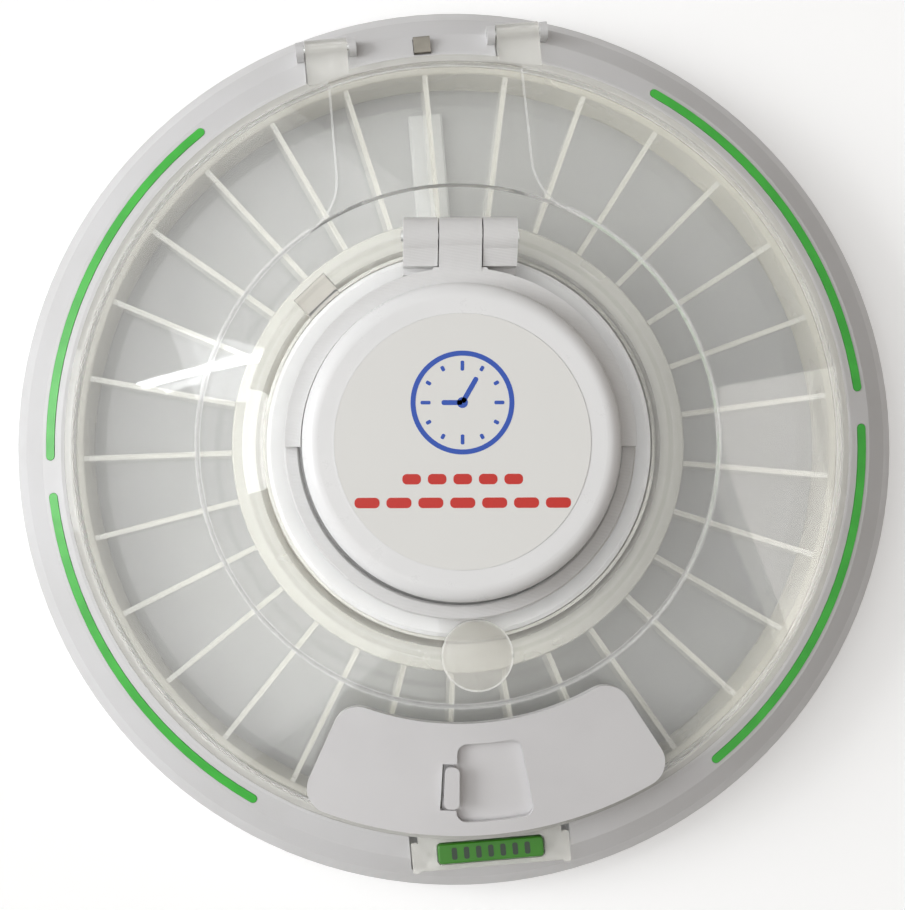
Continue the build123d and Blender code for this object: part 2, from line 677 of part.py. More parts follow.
with BuildPart() as housing_screws:
    with BuildSketch(Plane.XY.offset(COVER_BOTTOM)):
        with Locations(*screw_spots):
            Circle(SCREW_HEAD_RADIUS)
            Rectangle(SCREW_SLOT, SCREW_HEAD_RADIUS, mode=Mode.SUBTRACT)
    extrude(amount=SCREW_HEAD_THICK / 2)
    with BuildSketch(Plane.XY.offset(COVER_BOTTOM + SCREW_HEAD_THICK / 2)):
        with Locations(*screw_spots):
            Circle(SCREW_HEAD_RADIUS)
    extrude(amount=SCREW_HEAD_THICK / 2)
    with BuildSketch(Plane.XY.offset(COVER_BOTTOM + SCREW_HEAD_THICK)):
        with Locations(*screw_spots):
            Circle(SCREW_RADIUS)
    extrude(amount=SCREW_LENGTH)
housing_screws.part.label = "housing_screws"
export_step(housing_screws.part, "parts/housing_screws.step")

# Hub: a stepped tower with a deck, open at its foot where the pinion reaches the gear ring
hub_outline = [
    (HUB_FOOT_RADIUS, COVER_TOP),
    (HUB_FOOT_RADIUS, HUB_STEP_Z),
    (HUB_RADIUS, HUB_STEP_Z),
    (HUB_RADIUS, DECK_TOP - HUB_CHAMFER),
    (HUB_RADIUS - HUB_CHAMFER, DECK_TOP),
    (0, DECK_TOP),
    (0, DECK_BOTTOM),
    (HUB_RADIUS - HUB_WALL, DECK_BOTTOM),
    (HUB_RADIUS - HUB_WALL, HUB_STEP_Z + HUB_WALL),
    (HUB_FOOT_RADIUS - HUB_WALL, HUB_STEP_Z + HUB_WALL),
    (HUB_FOOT_RADIUS - HUB_WALL, COVER_TOP),
]
pinion_tip = PINION_PITCH_RADIUS + ADDENDUM
button_spots = [(BUTTON_PITCH * step, BUTTON_Y) for step in (-1, 0, 1)]
post_spots = [(x, y) for x in (-POST_X, POST_X) for y in (POST_Y_FRONT, POST_Y_BACK)]
with BuildPart() as hub_tower:
    revolve(section(hub_outline), axis=Axis.Z)
    with Locations((0, -HUB_FOOT_RADIUS, PINION_BOTTOM - GAP)):
        Box(
            2 * (pinion_tip + EASY_GAP), REACH, PINION_HEIGHT + 2 * GAP,
            align=(Align.CENTER, Align.CENTER, Align.MIN), mode=Mode.SUBTRACT,
        )
    with BuildSketch(Plane.XY.offset(DECK_BOTTOM)):
        with Locations((0, DISPLAY_Y)):
            RectangleRounded(
                WINDOW_WIDTH - 2 * WINDOW_LEDGE, WINDOW_DEPTH - 2 * WINDOW_LEDGE, WINDOW_CORNER - SEAT_GAP,
            )
        with Locations(*button_spots):
            Circle(BUTTON_RADIUS + GAP)
    extrude(amount=DECK_THICK, mode=Mode.SUBTRACT)
    with BuildSketch(Plane.XY.offset(DECK_TOP)):
        with Locations((0, DISPLAY_Y)):
            RectangleRounded(
                WINDOW_WIDTH + 2 * SEAT_GAP, WINDOW_DEPTH + 2 * SEAT_GAP, WINDOW_CORNER + SEAT_GAP,
            )
    extrude(amount=-WINDOW_THICK, mode=Mode.SUBTRACT)
    with BuildSketch(Plane.XY.offset(BOARD_TOP)):
        with Locations(*post_spots):
            Circle(POST_RADIUS)
            Circle(BOARD_SCREW_RADIUS, mode=Mode.SUBTRACT)
    extrude(amount=DECK_BOTTOM - BOARD_TOP)
hub_tower.part.label = "hub_tower"
export_step(hub_tower.part, "parts/hub_tower.step")

with BuildPart() as display_window:
    with BuildSketch(Plane.XY.offset(DECK_TOP - WINDOW_THICK)):
        with Locations((0, DISPLAY_Y)):
            RectangleRounded(WINDOW_WIDTH, WINDOW_DEPTH, WINDOW_CORNER)
    extrude(amount=WINDOW_THICK)
display_window.part.label = "display_window"
export_step(display_window.part, "parts/display_window.step")

with BuildPart() as main_board:
    with BuildSketch(Plane.XY.offset(BOARD_BOTTOM)):
        Circle(BOARD_RADIUS)
        with Locations((0, BOARD_RADIUS), (0, -BOARD_RADIUS)):
            Rectangle(*BOARD_NOTCH, mode=Mode.SUBTRACT)
        with Locations(*post_spots):
            Circle(BOARD_SCREW_RADIUS + SEAT_GAP, mode=Mode.SUBTRACT)
    extrude(amount=BOARD_THICK)
    with Locations(*[(*spot, BOARD_TOP) for spot in CHIP_SPOTS]):
        Box(CHIP_SIZE, CHIP_SIZE, CHIP_THICK, align=(Align.CENTER, Align.CENTER, Align.MIN))
main_board.part.label = "main_board"
export_step(main_board.part, "parts/main_board.step")

with BuildPart() as board_screws:
    with BuildSketch(Plane.XY.offset(BOARD_BOTTOM)):
        with Locations(*post_spots):
            Circle(2 * BOARD_SCREW_RADIUS)
    extrude(amount=-BOARD_SCREW_RADIUS)
    with BuildSketch(Plane.XY.offset(BOARD_BOTTOM)):
        with Locations(*post_spots):
            Circle(BOARD_SCREW_RADIUS)
    extrude(amount=DECK_BOTTOM - BOARD_BOTTOM - GAP)
board_screws.part.label = "board_screws"
export_step(board_screws.part, "parts/board_screws.step")

with BuildPart() as display_module:
    with Locations((0, DISPLAY_Y, BOARD_TOP)):
        Box(DISPLAY_WIDTH, DISPLAY_DEPTH, DISPLAY_THICK, align=(Align.CENTER, Align.CENTER, Align.MIN))
    with Locations((0, DISPLAY_Y, BOARD_TOP + DISPLAY_THICK)):
        Box(WINDOW_WIDTH, WINDOW_DEPTH, DISPLAY_FACE, align=(Align.CENTER, Align.CENTER, Align.MIN))
display_module.part.label = "display_module"
export_step(display_module.part, "parts/display_module.step")

# Three push buttons in the deck, each over its switch
button_flange_top = DECK_BOTTOM - GAP
button_bottom = button_flange_top - BUTTON_FLANGE
for button_name, spot in zip(("set_button", "down_button", "up_button"), button_spots):
    with BuildPart() as push_button:
        with Locations((*spot, button_bottom)):
            Cylinder(
                BUTTON_RADIUS + BUTTON_LIP, BUTTON_FLANGE,
                align=(Align.CENTER, Align.CENTER, Align.MIN),
            )
            Cylinder(
                BUTTON_RADIUS, DECK_TOP + BUTTON_PROUD - button_bottom,
                align=(Align.CENTER, Align.CENTER, Align.MIN),
            )
        fillet(push_button.edges().group_by(Axis.Z)[-1], BUTTON_PROUD / 2)
    push_button.part.label = button_name
    export_step(push_button.part, f"parts/{button_name}.step")

with BuildPart() as tact_switches:
    plunger_top = button_bottom - BUTTON_TRAVEL - SEAT_GAP
    with Locations(*[(*spot, BOARD_TOP) for spot in button_spots]):
        Box(SWITCH_SIZE, SWITCH_SIZE, SWITCH_THICK, align=(Align.CENTER, Align.CENTER, Align.MIN))
        Cylinder(SWITCH_PLUNGER, plunger_top - BOARD_TOP, align=(Align.CENTER, Align.CENTER, Align.MIN))
tact_switches.part.label = "tact_switches"
export_step(tact_switches.part, "parts/tact_switches.step")

with BuildPart() as buzzer:
    with Locations((BUZZER_X, 0, BOARD_BOTTOM - BUZZER_HEIGHT)):
        Cylinder(BUZZER_RADIUS, BUZZER_HEIGHT, align=(Align.CENTER, Align.CENTER, Align.MIN))
        Cylinder(
            BUZZER_HOLE, BUZZER_HOLE, align=(Align.CENTER, Align.CENTER, Align.MIN), mode=Mode.SUBTRACT,
        )
buzzer.part.label = "buzzer"
export_step(buzzer.part, "parts/buzzer.step")

# Geared motor with its shaft off centre, on two ears
with BuildPart() as gear_motor:
    with BuildSketch(Plane.XY.offset(MOTOR_BOTTOM)):
        with Locations((0, MOTOR_Y)):
            Circle(MOTOR_RADIUS)
    extrude(amount=MOTOR_HEIGHT)
    chamfer(gear_motor.edges().group_by(Axis.Z)[-1], MOTOR_CHAMFER)
    with BuildSketch(Plane.XY.offset(MOTOR_BOTTOM)):
        with Locations((0, MOTOR_Y)):
            SlotCenterToCenter(2 * MOTOR_EAR_REACH, MOTOR_EAR_WIDTH)
        with Locations(*pillar_spots):
            Circle(MOTOR_SCREW_RADIUS + SEAT_GAP, mode=Mode.SUBTRACT)
    extrude(amount=MOTOR_EAR_THICK)
    with BuildSketch(Plane.XY.offset(MOTOR_BOTTOM - MOTOR_BOSS_HEIGHT)):
        with Locations((0, PINION_Y)):
            Circle(MOTOR_BOSS_RADIUS)
    extrude(amount=MOTOR_BOSS_HEIGHT)
    with BuildSketch(Plane.XY.offset(MOTOR_BOTTOM - MOTOR_BOSS_HEIGHT)):
        with Locations((0, PINION_Y)):
            Circle(SHAFT_RADIUS + PIN_PLAY)
    extrude(amount=SHAFT_DEPTH + GAP, mode=Mode.SUBTRACT)
gear_motor.part.label = "gear_motor"
export_step(gear_motor.part, "parts/gear_motor.step")

with BuildPart() as motor_screws:
    with BuildSketch(Plane.XY.offset(MOTOR_BOTTOM + MOTOR_EAR_THICK)):
        with Locations(*pillar_spots):
            Circle(2 * MOTOR_SCREW_RADIUS)
    extrude(amount=MOTOR_SCREW_RADIUS)
    with BuildSketch(Plane.XY.offset(MOTOR_BOTTOM + MOTOR_EAR_THICK)):
        with Locations(*pillar_spots):
            Circle(MOTOR_SCREW_RADIUS)
    extrude(amount=-(SCREW_LENGTH - MOTOR_EAR_THICK))
motor_screws.part.label = "motor_screws"
export_step(motor_screws.part, "parts/motor_screws.step")

# Shaft and pinion turn together
with BuildPart() as motor_shaft:
    with Locations((0, PINION_Y, PINION_BOTTOM)):
        Cylinder(
            SHAFT_RADIUS, MOTOR_BOTTOM - MOTOR_BOSS_HEIGHT + SHAFT_DEPTH - PINION_BOTTOM,
            align=(Align.CENTER, Align.CENTER, Align.MIN),
        )
motor_shaft.part.label = "motor_shaft"
export_step(motor_shaft.part, "parts/motor_shaft.step")

tooth_thickness = pi * GEAR_MODULE / 2 - BACKLASH / 2
pinion_plane = Plane(origin=(0, PINION_Y, PINION_BOTTOM), x_dir=(0, -1, 0), z_dir=(0, 0, 1))
with BuildPart() as drive_pinion:
    extrude(
        gear_outline(
            PINION_TEETH, PINION_PITCH_RADIUS - DEDENDUM, pinion_tip, tooth_thickness, pinion_plane
        ),
        amount=PINION_HEIGHT,
    )
    with Locations((0, PINION_Y, PINION_BOTTOM)):
        Cylinder(SHAFT_RADIUS, THROUGH, mode=Mode.SUBTRACT)
drive_pinion.part.label = "drive_pinion"
export_step(drive_pinion.part, "parts/drive_pinion.step")

# Battery box, four cells, their contacts and the door below them
cell_xs = [CELL_PITCH * (step - (CELL_COUNT - 1) / 2) for step in range(CELL_COUNT)]
with BuildPart() as battery_box:
    with BuildSketch(Plane.XY.offset(COVER_TOP)):
        Rectangle(2 * BOX_OUTER_X, 2 * BOX_OUTER_Y)
    extrude(amount=BOX_TOP - COVER_TOP)
    chamfer(battery_box.edges().group_by(Axis.Z)[-1], BOX_CHAMFER)
    with BuildSketch(Plane.XY.offset(COVER_TOP)):
        Rectangle(2 * BOX_INNER_X, 2 * BOX_INNER_Y)
    extrude(amount=BOX_TOP - BOX_WALL - COVER_TOP, mode=Mode.SUBTRACT)
battery_box.part.label = "battery_box"
export_step(battery_box.part, "parts/battery_box.step")

with BuildPart() as batteries:
    for step, cell_x in enumerate(cell_xs):
        way = 1 if step % 2 else -1
        with Locations(Location((cell_x, 0, CELL_Z), (-90, 0, 0))):
            Cylinder(CELL_RADIUS, CELL_LENGTH - 2 * CELL_NUB)
        nub_y = way * (CELL_LENGTH - CELL_NUB) / 2
        with Locations(Location((cell_x, nub_y, CELL_Z), (-90, 0, 0))):
            Cylinder(CELL_NUB_RADIUS, CELL_NUB)
batteries.part.label = "batteries"
export_step(batteries.part, "parts/batteries.step")

with BuildPart() as battery_contacts:
    for end in (-1, 1):
        for cell_x in cell_xs:
            with Locations((cell_x, end * (BOX_INNER_Y - CONTACT_THICK / 2), CELL_Z)):
                Box(CELL_PITCH - 2, CONTACT_THICK, CONTACT_HEIGHT)
battery_contacts.part.label = "battery_contacts"
export_step(battery_contacts.part, "parts/battery_contacts.step")

with BuildPart() as battery_door:
    with BuildSketch(Plane.XY.offset(COVER_BOTTOM)):
        RectangleRounded(2 * BOX_OUTER_X, 2 * BOX_OUTER_Y, BOX_CHAMFER)
    extrude(amount=DOOR_THICK)
    with BuildSketch(Plane.XY.offset(COVER_BOTTOM)):
        with Locations((0, GRIP_INSET - BOX_OUTER_Y)):
            with GridLocations(1, GRIP_PITCH, 1, GRIP_COUNT):
                SlotOverall(GRIP_LENGTH, GRIP_WIDTH)
    extrude(amount=GRIP_DEPTH, mode=Mode.SUBTRACT)
battery_door.part.label = "battery_door"
export_step(battery_door.part, "parts/battery_door.step")

# Clear lid: rim, sloping annulus, raised middle with a tongue to the hinge, and a flange round the hub
neck_z = lid_top(NECK_RADIUS) + STEP_HEIGHT
lid_outline = [
    (LID_RADIUS, LID_BOTTOM),
    (LID_RADIUS, LID_EDGE_Z - 0.9),
    (LID_EDGE_RADIUS, LID_EDGE_Z - 0.05),
    (LID_EDGE_RADIUS - 1, lid_top(LID_EDGE_RADIUS - 1) + STEP_HEIGHT),
    (NECK_RADIUS, neck_z),
    (FLANGE_OUTER + 0.8, FLANGE_TOP - 0.5),
    (FLANGE_OUTER, FLANGE_TOP),
    (FLANGE_INNER, FLANGE_TOP),
    (FLANGE_INNER, FLANGE_TOP - FLANGE_THICK),
    (FLANGE_OUTER - 0.6, FLANGE_TOP - FLANGE_THICK),
    (NECK_RADIUS - 0.6, neck_z - LID_THICK),
    (STEP_RADIUS - 0.5, lid_top(STEP_RADIUS) + STEP_HEIGHT - LID_THICK),
    (STEP_RADIUS + 0.4, lid_top(STEP_RADIUS) - LID_THICK),
    (LID_RADIUS - LID_WALL - 0.6, lid_top(LID_RADIUS - LID_WALL) - LID_THICK),
    (LID_RADIUS - LID_WALL, LID_EDGE_Z - LID_THICK - 0.8),
    (LID_RADIUS - LID_WALL, LID_BOTTOM),
]
lid_inside = lid_outline[13:16] + [
    (LID_RADIUS - LID_WALL, LID_BOTTOM - OVERLAP),
    (STEP_RADIUS + OVERLAP, LID_BOTTOM - OVERLAP),
    (STEP_RADIUS + OVERLAP, lid_top(STEP_RADIUS + OVERLAP) - LID_THICK),
]
# What is taken off the raised top outside the middle disc and the tongue
with BuildPart() as lowered_top:
    add(slope_layer(0, PLATE_HEIGHT, NECK_RADIUS, LID_RADIUS + OVERLAP))
    with BuildSketch(Plane.XY.offset(LID_BOTTOM)) as tongue_outline:
        Circle(STEP_RADIUS)
        Rectangle(2 * TONGUE_HALF, LID_RADIUS + OVERLAP, align=(Align.CENTER, Align.MIN))
        tongue_corners = tongue_outline.vertices().filter_by(
            lambda corner: TONGUE_HALF < corner.Y < LID_RADIUS
        )
        fillet(tongue_corners, TONGUE_FILLET)
    extrude(amount=THROUGH, mode=Mode.SUBTRACT)

opening_start = FRONT + OPENING_LEFT
opening_end = FRONT + OPENING_RIGHT
hook_x = BUTTON_BAR_LENGTH / 2 + GAP + HOOK_WIDTH / 2
frame_outer_y = BUTTON_BAR_Y - BUTTON_BAR_DEPTH / 2 - GAP - FRAME_WALL
frame_depth = TAB_ROOT - LID_EDGE_RADIUS - frame_outer_y
with BuildPart() as lid_shell:
    revolve(section(lid_outline), axis=Axis.Z)
    add(lowered_top.part, mode=Mode.SUBTRACT)
    # Hinge tabs with round ends
    for side in (-1, 1):
        with BuildSketch(Plane.YZ.offset(side * TAB_X)):
            with BuildLine():
                Polyline(
                    (HINGE_Y, HINGE_Z + BARREL_RADIUS),
                    (LID_EDGE_RADIUS - TAB_ROOT, LID_EDGE_Z - 0.2),
                    (LID_EDGE_RADIUS - TAB_ROOT, HINGE_Z - BARREL_RADIUS),
                    (HINGE_Y, HINGE_Z - BARREL_RADIUS),
                    close=True,
                )
            make_face()
            with Locations((HINGE_Y, HINGE_Z)):
                Circle(BARREL_RADIUS)
        extrude(amount=TAB_WIDTH / 2, both=True)
    # Catch frame round the latch button, with two hooks
    with BuildSketch(Plane.XY.offset(FRAME_BOTTOM)):
        with Locations((0, frame_outer_y)):
            Rectangle(2 * FRAME_HALF, frame_depth, align=(Align.CENTER, Align.MIN))
    extrude(amount=FRAME_THICK)
    for side in (-1, 1):
        with Locations((side * hook_x, BUTTON_BAR_Y, FRAME_BOTTOM)):
            Box(HOOK_WIDTH, HOOK_DEPTH, HOOK_DROP, align=(Align.CENTER, Align.CENTER, Align.MAX))
        with Locations((side * hook_x, BUTTON_BAR_Y, FRAME_BOTTOM - HOOK_DROP)):
            Box(
                HOOK_WIDTH, HOOK_DEPTH / 2 + HOOK_TOE, HOOK_TOE_HEIGHT,
                align=(Align.CENTER, Align.MAX, Align.MIN),
            )
    # Inside of the rim stays free of the tabs and the frame
    revolve(section(lid_inside), axis=Axis.Z, mode=Mode.SUBTRACT)
    with BuildSketch(Plane.XY.offset(FRAME_BOTTOM - OVERLAP)):
        with Locations((0, BUTTON_BAR_Y)):
            RectangleRounded(
                BUTTON_BAR_LENGTH + 2 * GAP, BUTTON_BAR_DEPTH + 2 * GAP, BUTTON_BAR_CORNER + GAP,
            )
    extrude(amount=REACH, mode=Mode.SUBTRACT)
    for side in (-1, 1):
        with Locations(Location((side * TAB_X, HINGE_Y, HINGE_Z), (0, 90, 0))):
            Cylinder(LID_PIN_RADIUS + PIN_PLAY, TAB_WIDTH + OVERLAP, mode=Mode.SUBTRACT)
    # Outlet under the dose window
    extrude(
        sector(
            OPENING_INNER + OUTLET_MARGIN, OPENING_OUTER - OUTLET_MARGIN,
            opening_start + 1, opening_start + SHUTTER_TRAVEL - 2, OPENING_CORNER,
        ),
        amount=THROUGH, mode=Mode.SUBTRACT,
    )
lid_shell.part.label = "lid_shell"
export_step(lid_shell.part, "parts/lid_shell.step")

# White dose window plate on the lid's slope, with a track for the shutter
track_low = GAP
track_high = GAP + SHUTTER_THICK
plate_start = FRONT - PLATE_ANGLE
plate_end = FRONT + PLATE_ANGLE
shutter_inner = OPENING_INNER - SHUTTER_LAP
shutter_outer = OPENING_OUTER + SHUTTER_LAP
shutter_start = FRONT + SHUTTER_LEFT
shutter_end = FRONT + SHUTTER_RIGHT
tab_inner = TAB_MIDDLE - TAB_LENGTH / 2
tab_outer = TAB_MIDDLE + TAB_LENGTH / 2
track_outline = sector(
    shutter_inner - GAP, shutter_outer + GAP,
    shutter_start - TRACK_EASE, shutter_end + SHUTTER_TRAVEL + TRACK_EASE, SHUTTER_CORNER - GAP,
)
with BuildPart() as track_space:
    extrude(track_outline, amount=THROUGH)
    add(slope_layer(-OVERLAP, PLATE_HEIGHT - PLATE_ROOF, PLATE_INNER, LID_RADIUS), mode=Mode.INTERSECT)

plate_outline = sector(PLATE_INNER, PLATE_OUTER, plate_start, plate_end, PLATE_CORNER)
opening_outline = sector(OPENING_INNER, OPENING_OUTER, opening_start, opening_end, OPENING_CORNER)
with BuildPart() as dose_window_plate:
    add(slope_layer(0, PLATE_HEIGHT, PLATE_INNER - OVERLAP, LID_RADIUS))
    extrude(plate_outline, amount=THROUGH, mode=Mode.INTERSECT)
    add(track_space.part, mode=Mode.SUBTRACT)
    extrude(opening_outline, amount=THROUGH, mode=Mode.SUBTRACT)
    # Room for the finger tab beside the opening
    extrude(
        sector(tab_inner - EASY_GAP, tab_outer + EASY_GAP, shutter_start - TAB_EASE, opening_start + 1),
        amount=THROUGH, mode=Mode.SUBTRACT,
    )
dose_window_plate.part.label = "dose_window_plate"
export_step(dose_window_plate.part, "parts/dose_window_plate.step")

# The tab stands above the plate so that a finger can push the shutter
tab_start = shutter_start + 0.2
with BuildPart() as finger_tab:
    add(slope_layer(track_low, PLATE_HEIGHT + TAB_HEIGHT, tab_inner - OVERLAP, tab_outer + OVERLAP))
    extrude(
        sector(tab_inner, tab_outer, tab_start, tab_start + TAB_ANGLE, TAB_CORNER),
        amount=THROUGH, mode=Mode.INTERSECT,
    )

with BuildPart() as dose_shutter:
    add(slope_layer(track_low, track_high, shutter_inner - OVERLAP, shutter_outer + OVERLAP))
    extrude(
        sector(shutter_inner, shutter_outer, shutter_start, shutter_end, SHUTTER_CORNER),
        amount=THROUGH, mode=Mode.INTERSECT,
    )
    add(finger_tab.part)
dose_shutter.part.label = "dose_shutter"
export_step(dose_shutter.part, "parts/dose_shutter.step")

# Magnifying lens on the lid's middle, its skirt cut to the slope below
with BuildPart() as lid_envelope:
    revolve(section(lid_outline[:8] + [(0, FLANGE_TOP), (0, LID_BOTTOM)]), axis=Axis.Z)
dome_radius = (LENS_RADIUS - LENS_RIM) ** 2 / (2 * LENS_DOME) + LENS_DOME / 2
dome_angle = degrees(asin((LENS_RADIUS - LENS_RIM) / dome_radius))
lens_edge_z = LENS_RIM_Z - LENS_RIM * 0.3
lens_plane = Plane(origin=(0, -LENS_CENTRE, 0), x_dir=(1, 0, 0), z_dir=(0, -1, 0))
with BuildPart() as reading_lens:
    with BuildSketch(lens_plane):
        with BuildLine():
            dome = CenterArc((0, LENS_RIM_Z + LENS_DOME - dome_radius), dome_radius, 90, -dome_angle)
            Line(dome @ 1, (LENS_RADIUS, lens_edge_z))
            Line((LENS_RADIUS, lens_edge_z), (LENS_RADIUS, LID_EDGE_Z))
            Line((LENS_RADIUS, LID_EDGE_Z), (0, LID_EDGE_Z))
            Line((0, LID_EDGE_Z), dome @ 0)
        make_face()
    revolve(axis=Axis((0, -LENS_CENTRE, 0), (0, 0, 1)))
    add(lid_envelope.part, mode=Mode.SUBTRACT)
reading_lens.part.label = "reading_lens"
export_step(reading_lens.part, "parts/reading_lens.step")

# Cap over the hub. Its hinge stands a little off the lid's own middle line
cap_plane = Plane.XY.rotated((0, 0, CAP_TURN))
side_centre = MID_KNUCKLE / 2 + GAP + SIDE_KNUCKLE / 2
cap_pin_length = 2 * (side_centre + SIDE_KNUCKLE / 2) + 2 * CAP_PIN_PROUD
cap_side_plane = Plane(origin=(0, 0, 0), x_dir=cap_plane.y_dir, z_dir=cap_plane.x_dir)


def knuckle(middle, width, inner_y, inner_bottom, inner_top, bore):
    """Hinge knuckle with an arm that runs inwards, made about the cap's own hinge axis."""
    with BuildPart() as piece:
        with BuildSketch(cap_side_plane.offset(middle - width / 2)):
            with BuildLine():
                Polyline(
                    (KNUCKLE_Y, KNUCKLE_Z + KNUCKLE_RADIUS),
                    (inner_y, inner_top),
                    (inner_y, inner_bottom),
                    (KNUCKLE_Y - KNUCKLE_RADIUS * 0.5, inner_bottom),
                    (KNUCKLE_Y, KNUCKLE_Z),
                    close=True,
                )
            make_face()
            with Locations((KNUCKLE_Y, KNUCKLE_Z)):
                Circle(KNUCKLE_RADIUS)
                Circle(bore, mode=Mode.SUBTRACT)
        extrude(amount=width)
    return piece.part


side_top = YOKE_TOP - GAP
with BuildPart() as cap_mount_ring:
    with BuildSketch(Plane.XY.offset(FLANGE_TOP)):
        Circle(MOUNT_OUTER)
        Circle(MOUNT_INNER, mode=Mode.SUBTRACT)
    extrude(amount=MOUNT_HEIGHT)
    chamfer(cap_mount_ring.edges().group_by(Axis.Z)[-1], CAP_CHAMFER)
    for side in (-1, 1):
        add(
            knuckle(
                side * side_centre, SIDE_KNUCKLE, YOKE_OUTER + GAP, FLANGE_TOP + SEAT_GAP, side_top,
                CAP_PIN_RADIUS,
            )
        )
        with BuildSketch(cap_plane.offset(FLANGE_TOP)):
            with Locations((side * side_centre, MOUNT_OUTER - CAP_WALL)):
                Rectangle(SIDE_KNUCKLE, KNUCKLE_Y - MOUNT_OUTER, align=(Align.CENTER, Align.MIN))
        extrude(amount=MOUNT_HEIGHT)
cap_mount_ring.part.label = "cap_mount_ring"
export_step(cap_mount_ring.part, "parts/cap_mount_ring.step")

with BuildPart() as cap_hinge_pin:
    with BuildSketch(cap_side_plane.offset(-cap_pin_length / 2)):
        with Locations((KNUCKLE_Y, KNUCKLE_Z)):
            Circle(CAP_PIN_RADIUS)
    extrude(amount=cap_pin_length)
cap_hinge_pin.part.label = "cap_hinge_pin"
export_step(cap_hinge_pin.part, "parts/cap_hinge_pin.step")

# Half ring that carries the cap, with the hinge's middle knuckle
with BuildPart() as cap_yoke:
    with BuildSketch(cap_plane.offset(YOKE_BOTTOM)):
        with BuildLine():
            yoke_rim = CenterArc((0, 0), YOKE_OUTER, -YOKE_SPREAD, 180 + 2 * YOKE_SPREAD)
            yoke_bore = CenterArc((0, 0), YOKE_INNER, -YOKE_SPREAD, 180 + 2 * YOKE_SPREAD)
            Line(yoke_rim @ 0, yoke_bore @ 0)
            Line(yoke_rim @ 1, yoke_bore @ 1)
        make_face()
    extrude(amount=YOKE_HEIGHT)
    with BuildSketch(cap_plane.offset(YOKE_BOTTOM)):
        with BuildLine():
            flange_rim = CenterArc((0, 0), YOKE_INNER + YOKE_JOIN, -YOKE_SPREAD, 180 + 2 * YOKE_SPREAD)
            flange_bore = CenterArc((0, 0), YOKE_FLANGE_INNER, -YOKE_SPREAD, 180 + 2 * YOKE_SPREAD)
            Line(flange_rim @ 0, flange_bore @ 0)
            Line(flange_rim @ 1, flange_bore @ 1)
        make_face()
    extrude(amount=YOKE_FLANGE_THICK)
    add(knuckle(0, MID_KNUCKLE, YOKE_OUTER - OVERLAP, YOKE_BOTTOM, YOKE_TOP, CAP_PIN_RADIUS + PIN_PLAY))
    # Flared root where the knuckle's arm meets the half ring
    with BuildSketch(cap_plane.offset(YOKE_BOTTOM)):
        with BuildLine():
            Polyline(
                (-MID_KNUCKLE / 2 - ARM_FLARE, YOKE_OUTER - ARM_FLARE_LENGTH),
                (-MID_KNUCKLE / 2, YOKE_OUTER + ARM_FLARE_LENGTH),
                (MID_KNUCKLE / 2, YOKE_OUTER + ARM_FLARE_LENGTH),
                (MID_KNUCKLE / 2 + ARM_FLARE, YOKE_OUTER - ARM_FLARE_LENGTH),
                close=True,
            )
        make_face()
        Circle(YOKE_INNER + OVERLAP, mode=Mode.SUBTRACT)
        for side in (-1, 1):
            with Locations((side * side_centre, YOKE_OUTER)):
                Rectangle(
                    SIDE_KNUCKLE + 2 * GAP, REACH, align=(Align.CENTER, Align.MIN), mode=Mode.SUBTRACT,
                )
    extrude(amount=YOKE_HEIGHT)
cap_yoke.part.label = "cap_yoke"
export_step(cap_yoke.part, "parts/cap_yoke.step")

with BuildPart() as cap_base:
    with BuildSketch(Plane.XY.offset(CAP_BASE_BOTTOM)):
        Circle(CAP_RADIUS)
    extrude(amount=CAP_BASE_THICK)
    chamfer(cap_base.edges().group_by(Axis.Z)[0], CAP_CHAMFER)
cap_base.part.label = "cap_base"
export_step(cap_base.part, "parts/cap_base.step")

with BuildPart() as cap_shell:
    with BuildSketch(Plane.XY.offset(CAP_SHELL_BOTTOM)):
        Circle(CAP_RADIUS)
    extrude(amount=CAP_TOP - CAP_SHELL_BOTTOM)
    fillet(cap_shell.edges().group_by(Axis.Z)[-1], CAP_ROUND)
    with BuildSketch(Plane.XY.offset(CAP_SHELL_BOTTOM)):
        Circle(CAP_RADIUS - CAP_WALL)
    extrude(amount=CAP_TOP - CAP_WALL - CAP_SHELL_BOTTOM, mode=Mode.SUBTRACT)
    # Round recess for the label
    with BuildSketch(Plane.XY.offset(CAP_TOP)):
        Circle(LABEL_RADIUS + SEAT_GAP)
    extrude(amount=-LABEL_THICK / 2, mode=Mode.SUBTRACT)
cap_shell.part.label = "cap_shell"
export_step(cap_shell.part, "parts/cap_shell.step")

with BuildPart() as cap_label:
    with BuildSketch(Plane.XY.offset(CAP_TOP - LABEL_THICK / 2)):
        Circle(LABEL_RADIUS)
    extrude(amount=LABEL_THICK)
cap_label.part.label = "cap_label"
export_step(cap_label.part, "parts/cap_label.step")

with BuildPart() as tag_board:
    with BuildSketch(Plane.XY.offset(CAP_SHELL_BOTTOM)):
        Circle(TAG_BOARD_RADIUS)
    extrude(amount=TAG_BOARD_THICK)
    with Locations(*[(*spot, CAP_SHELL_BOTTOM + TAG_BOARD_THICK) for spot in TAG_CHIP_SPOTS]):
        Box(*TAG_CHIP, align=(Align.CENTER, Align.CENTER, Align.MIN))
tag_board.part.label = "tag_board"
export_step(tag_board.part, "parts/tag_board.step")

with BuildPart() as coin_cell:
    with BuildSketch(Plane.XY.offset(CAP_SHELL_BOTTOM + TAG_BOARD_THICK)):
        with Locations((0, COIN_Y)):
            Circle(COIN_RADIUS)
    extrude(amount=COIN_THICK)
    chamfer(coin_cell.edges().group_by(Axis.Z)[-1], CAP_CHAMFER)
coin_cell.part.label = "coin_cell"
export_step(coin_cell.part, "parts/coin_cell.step")

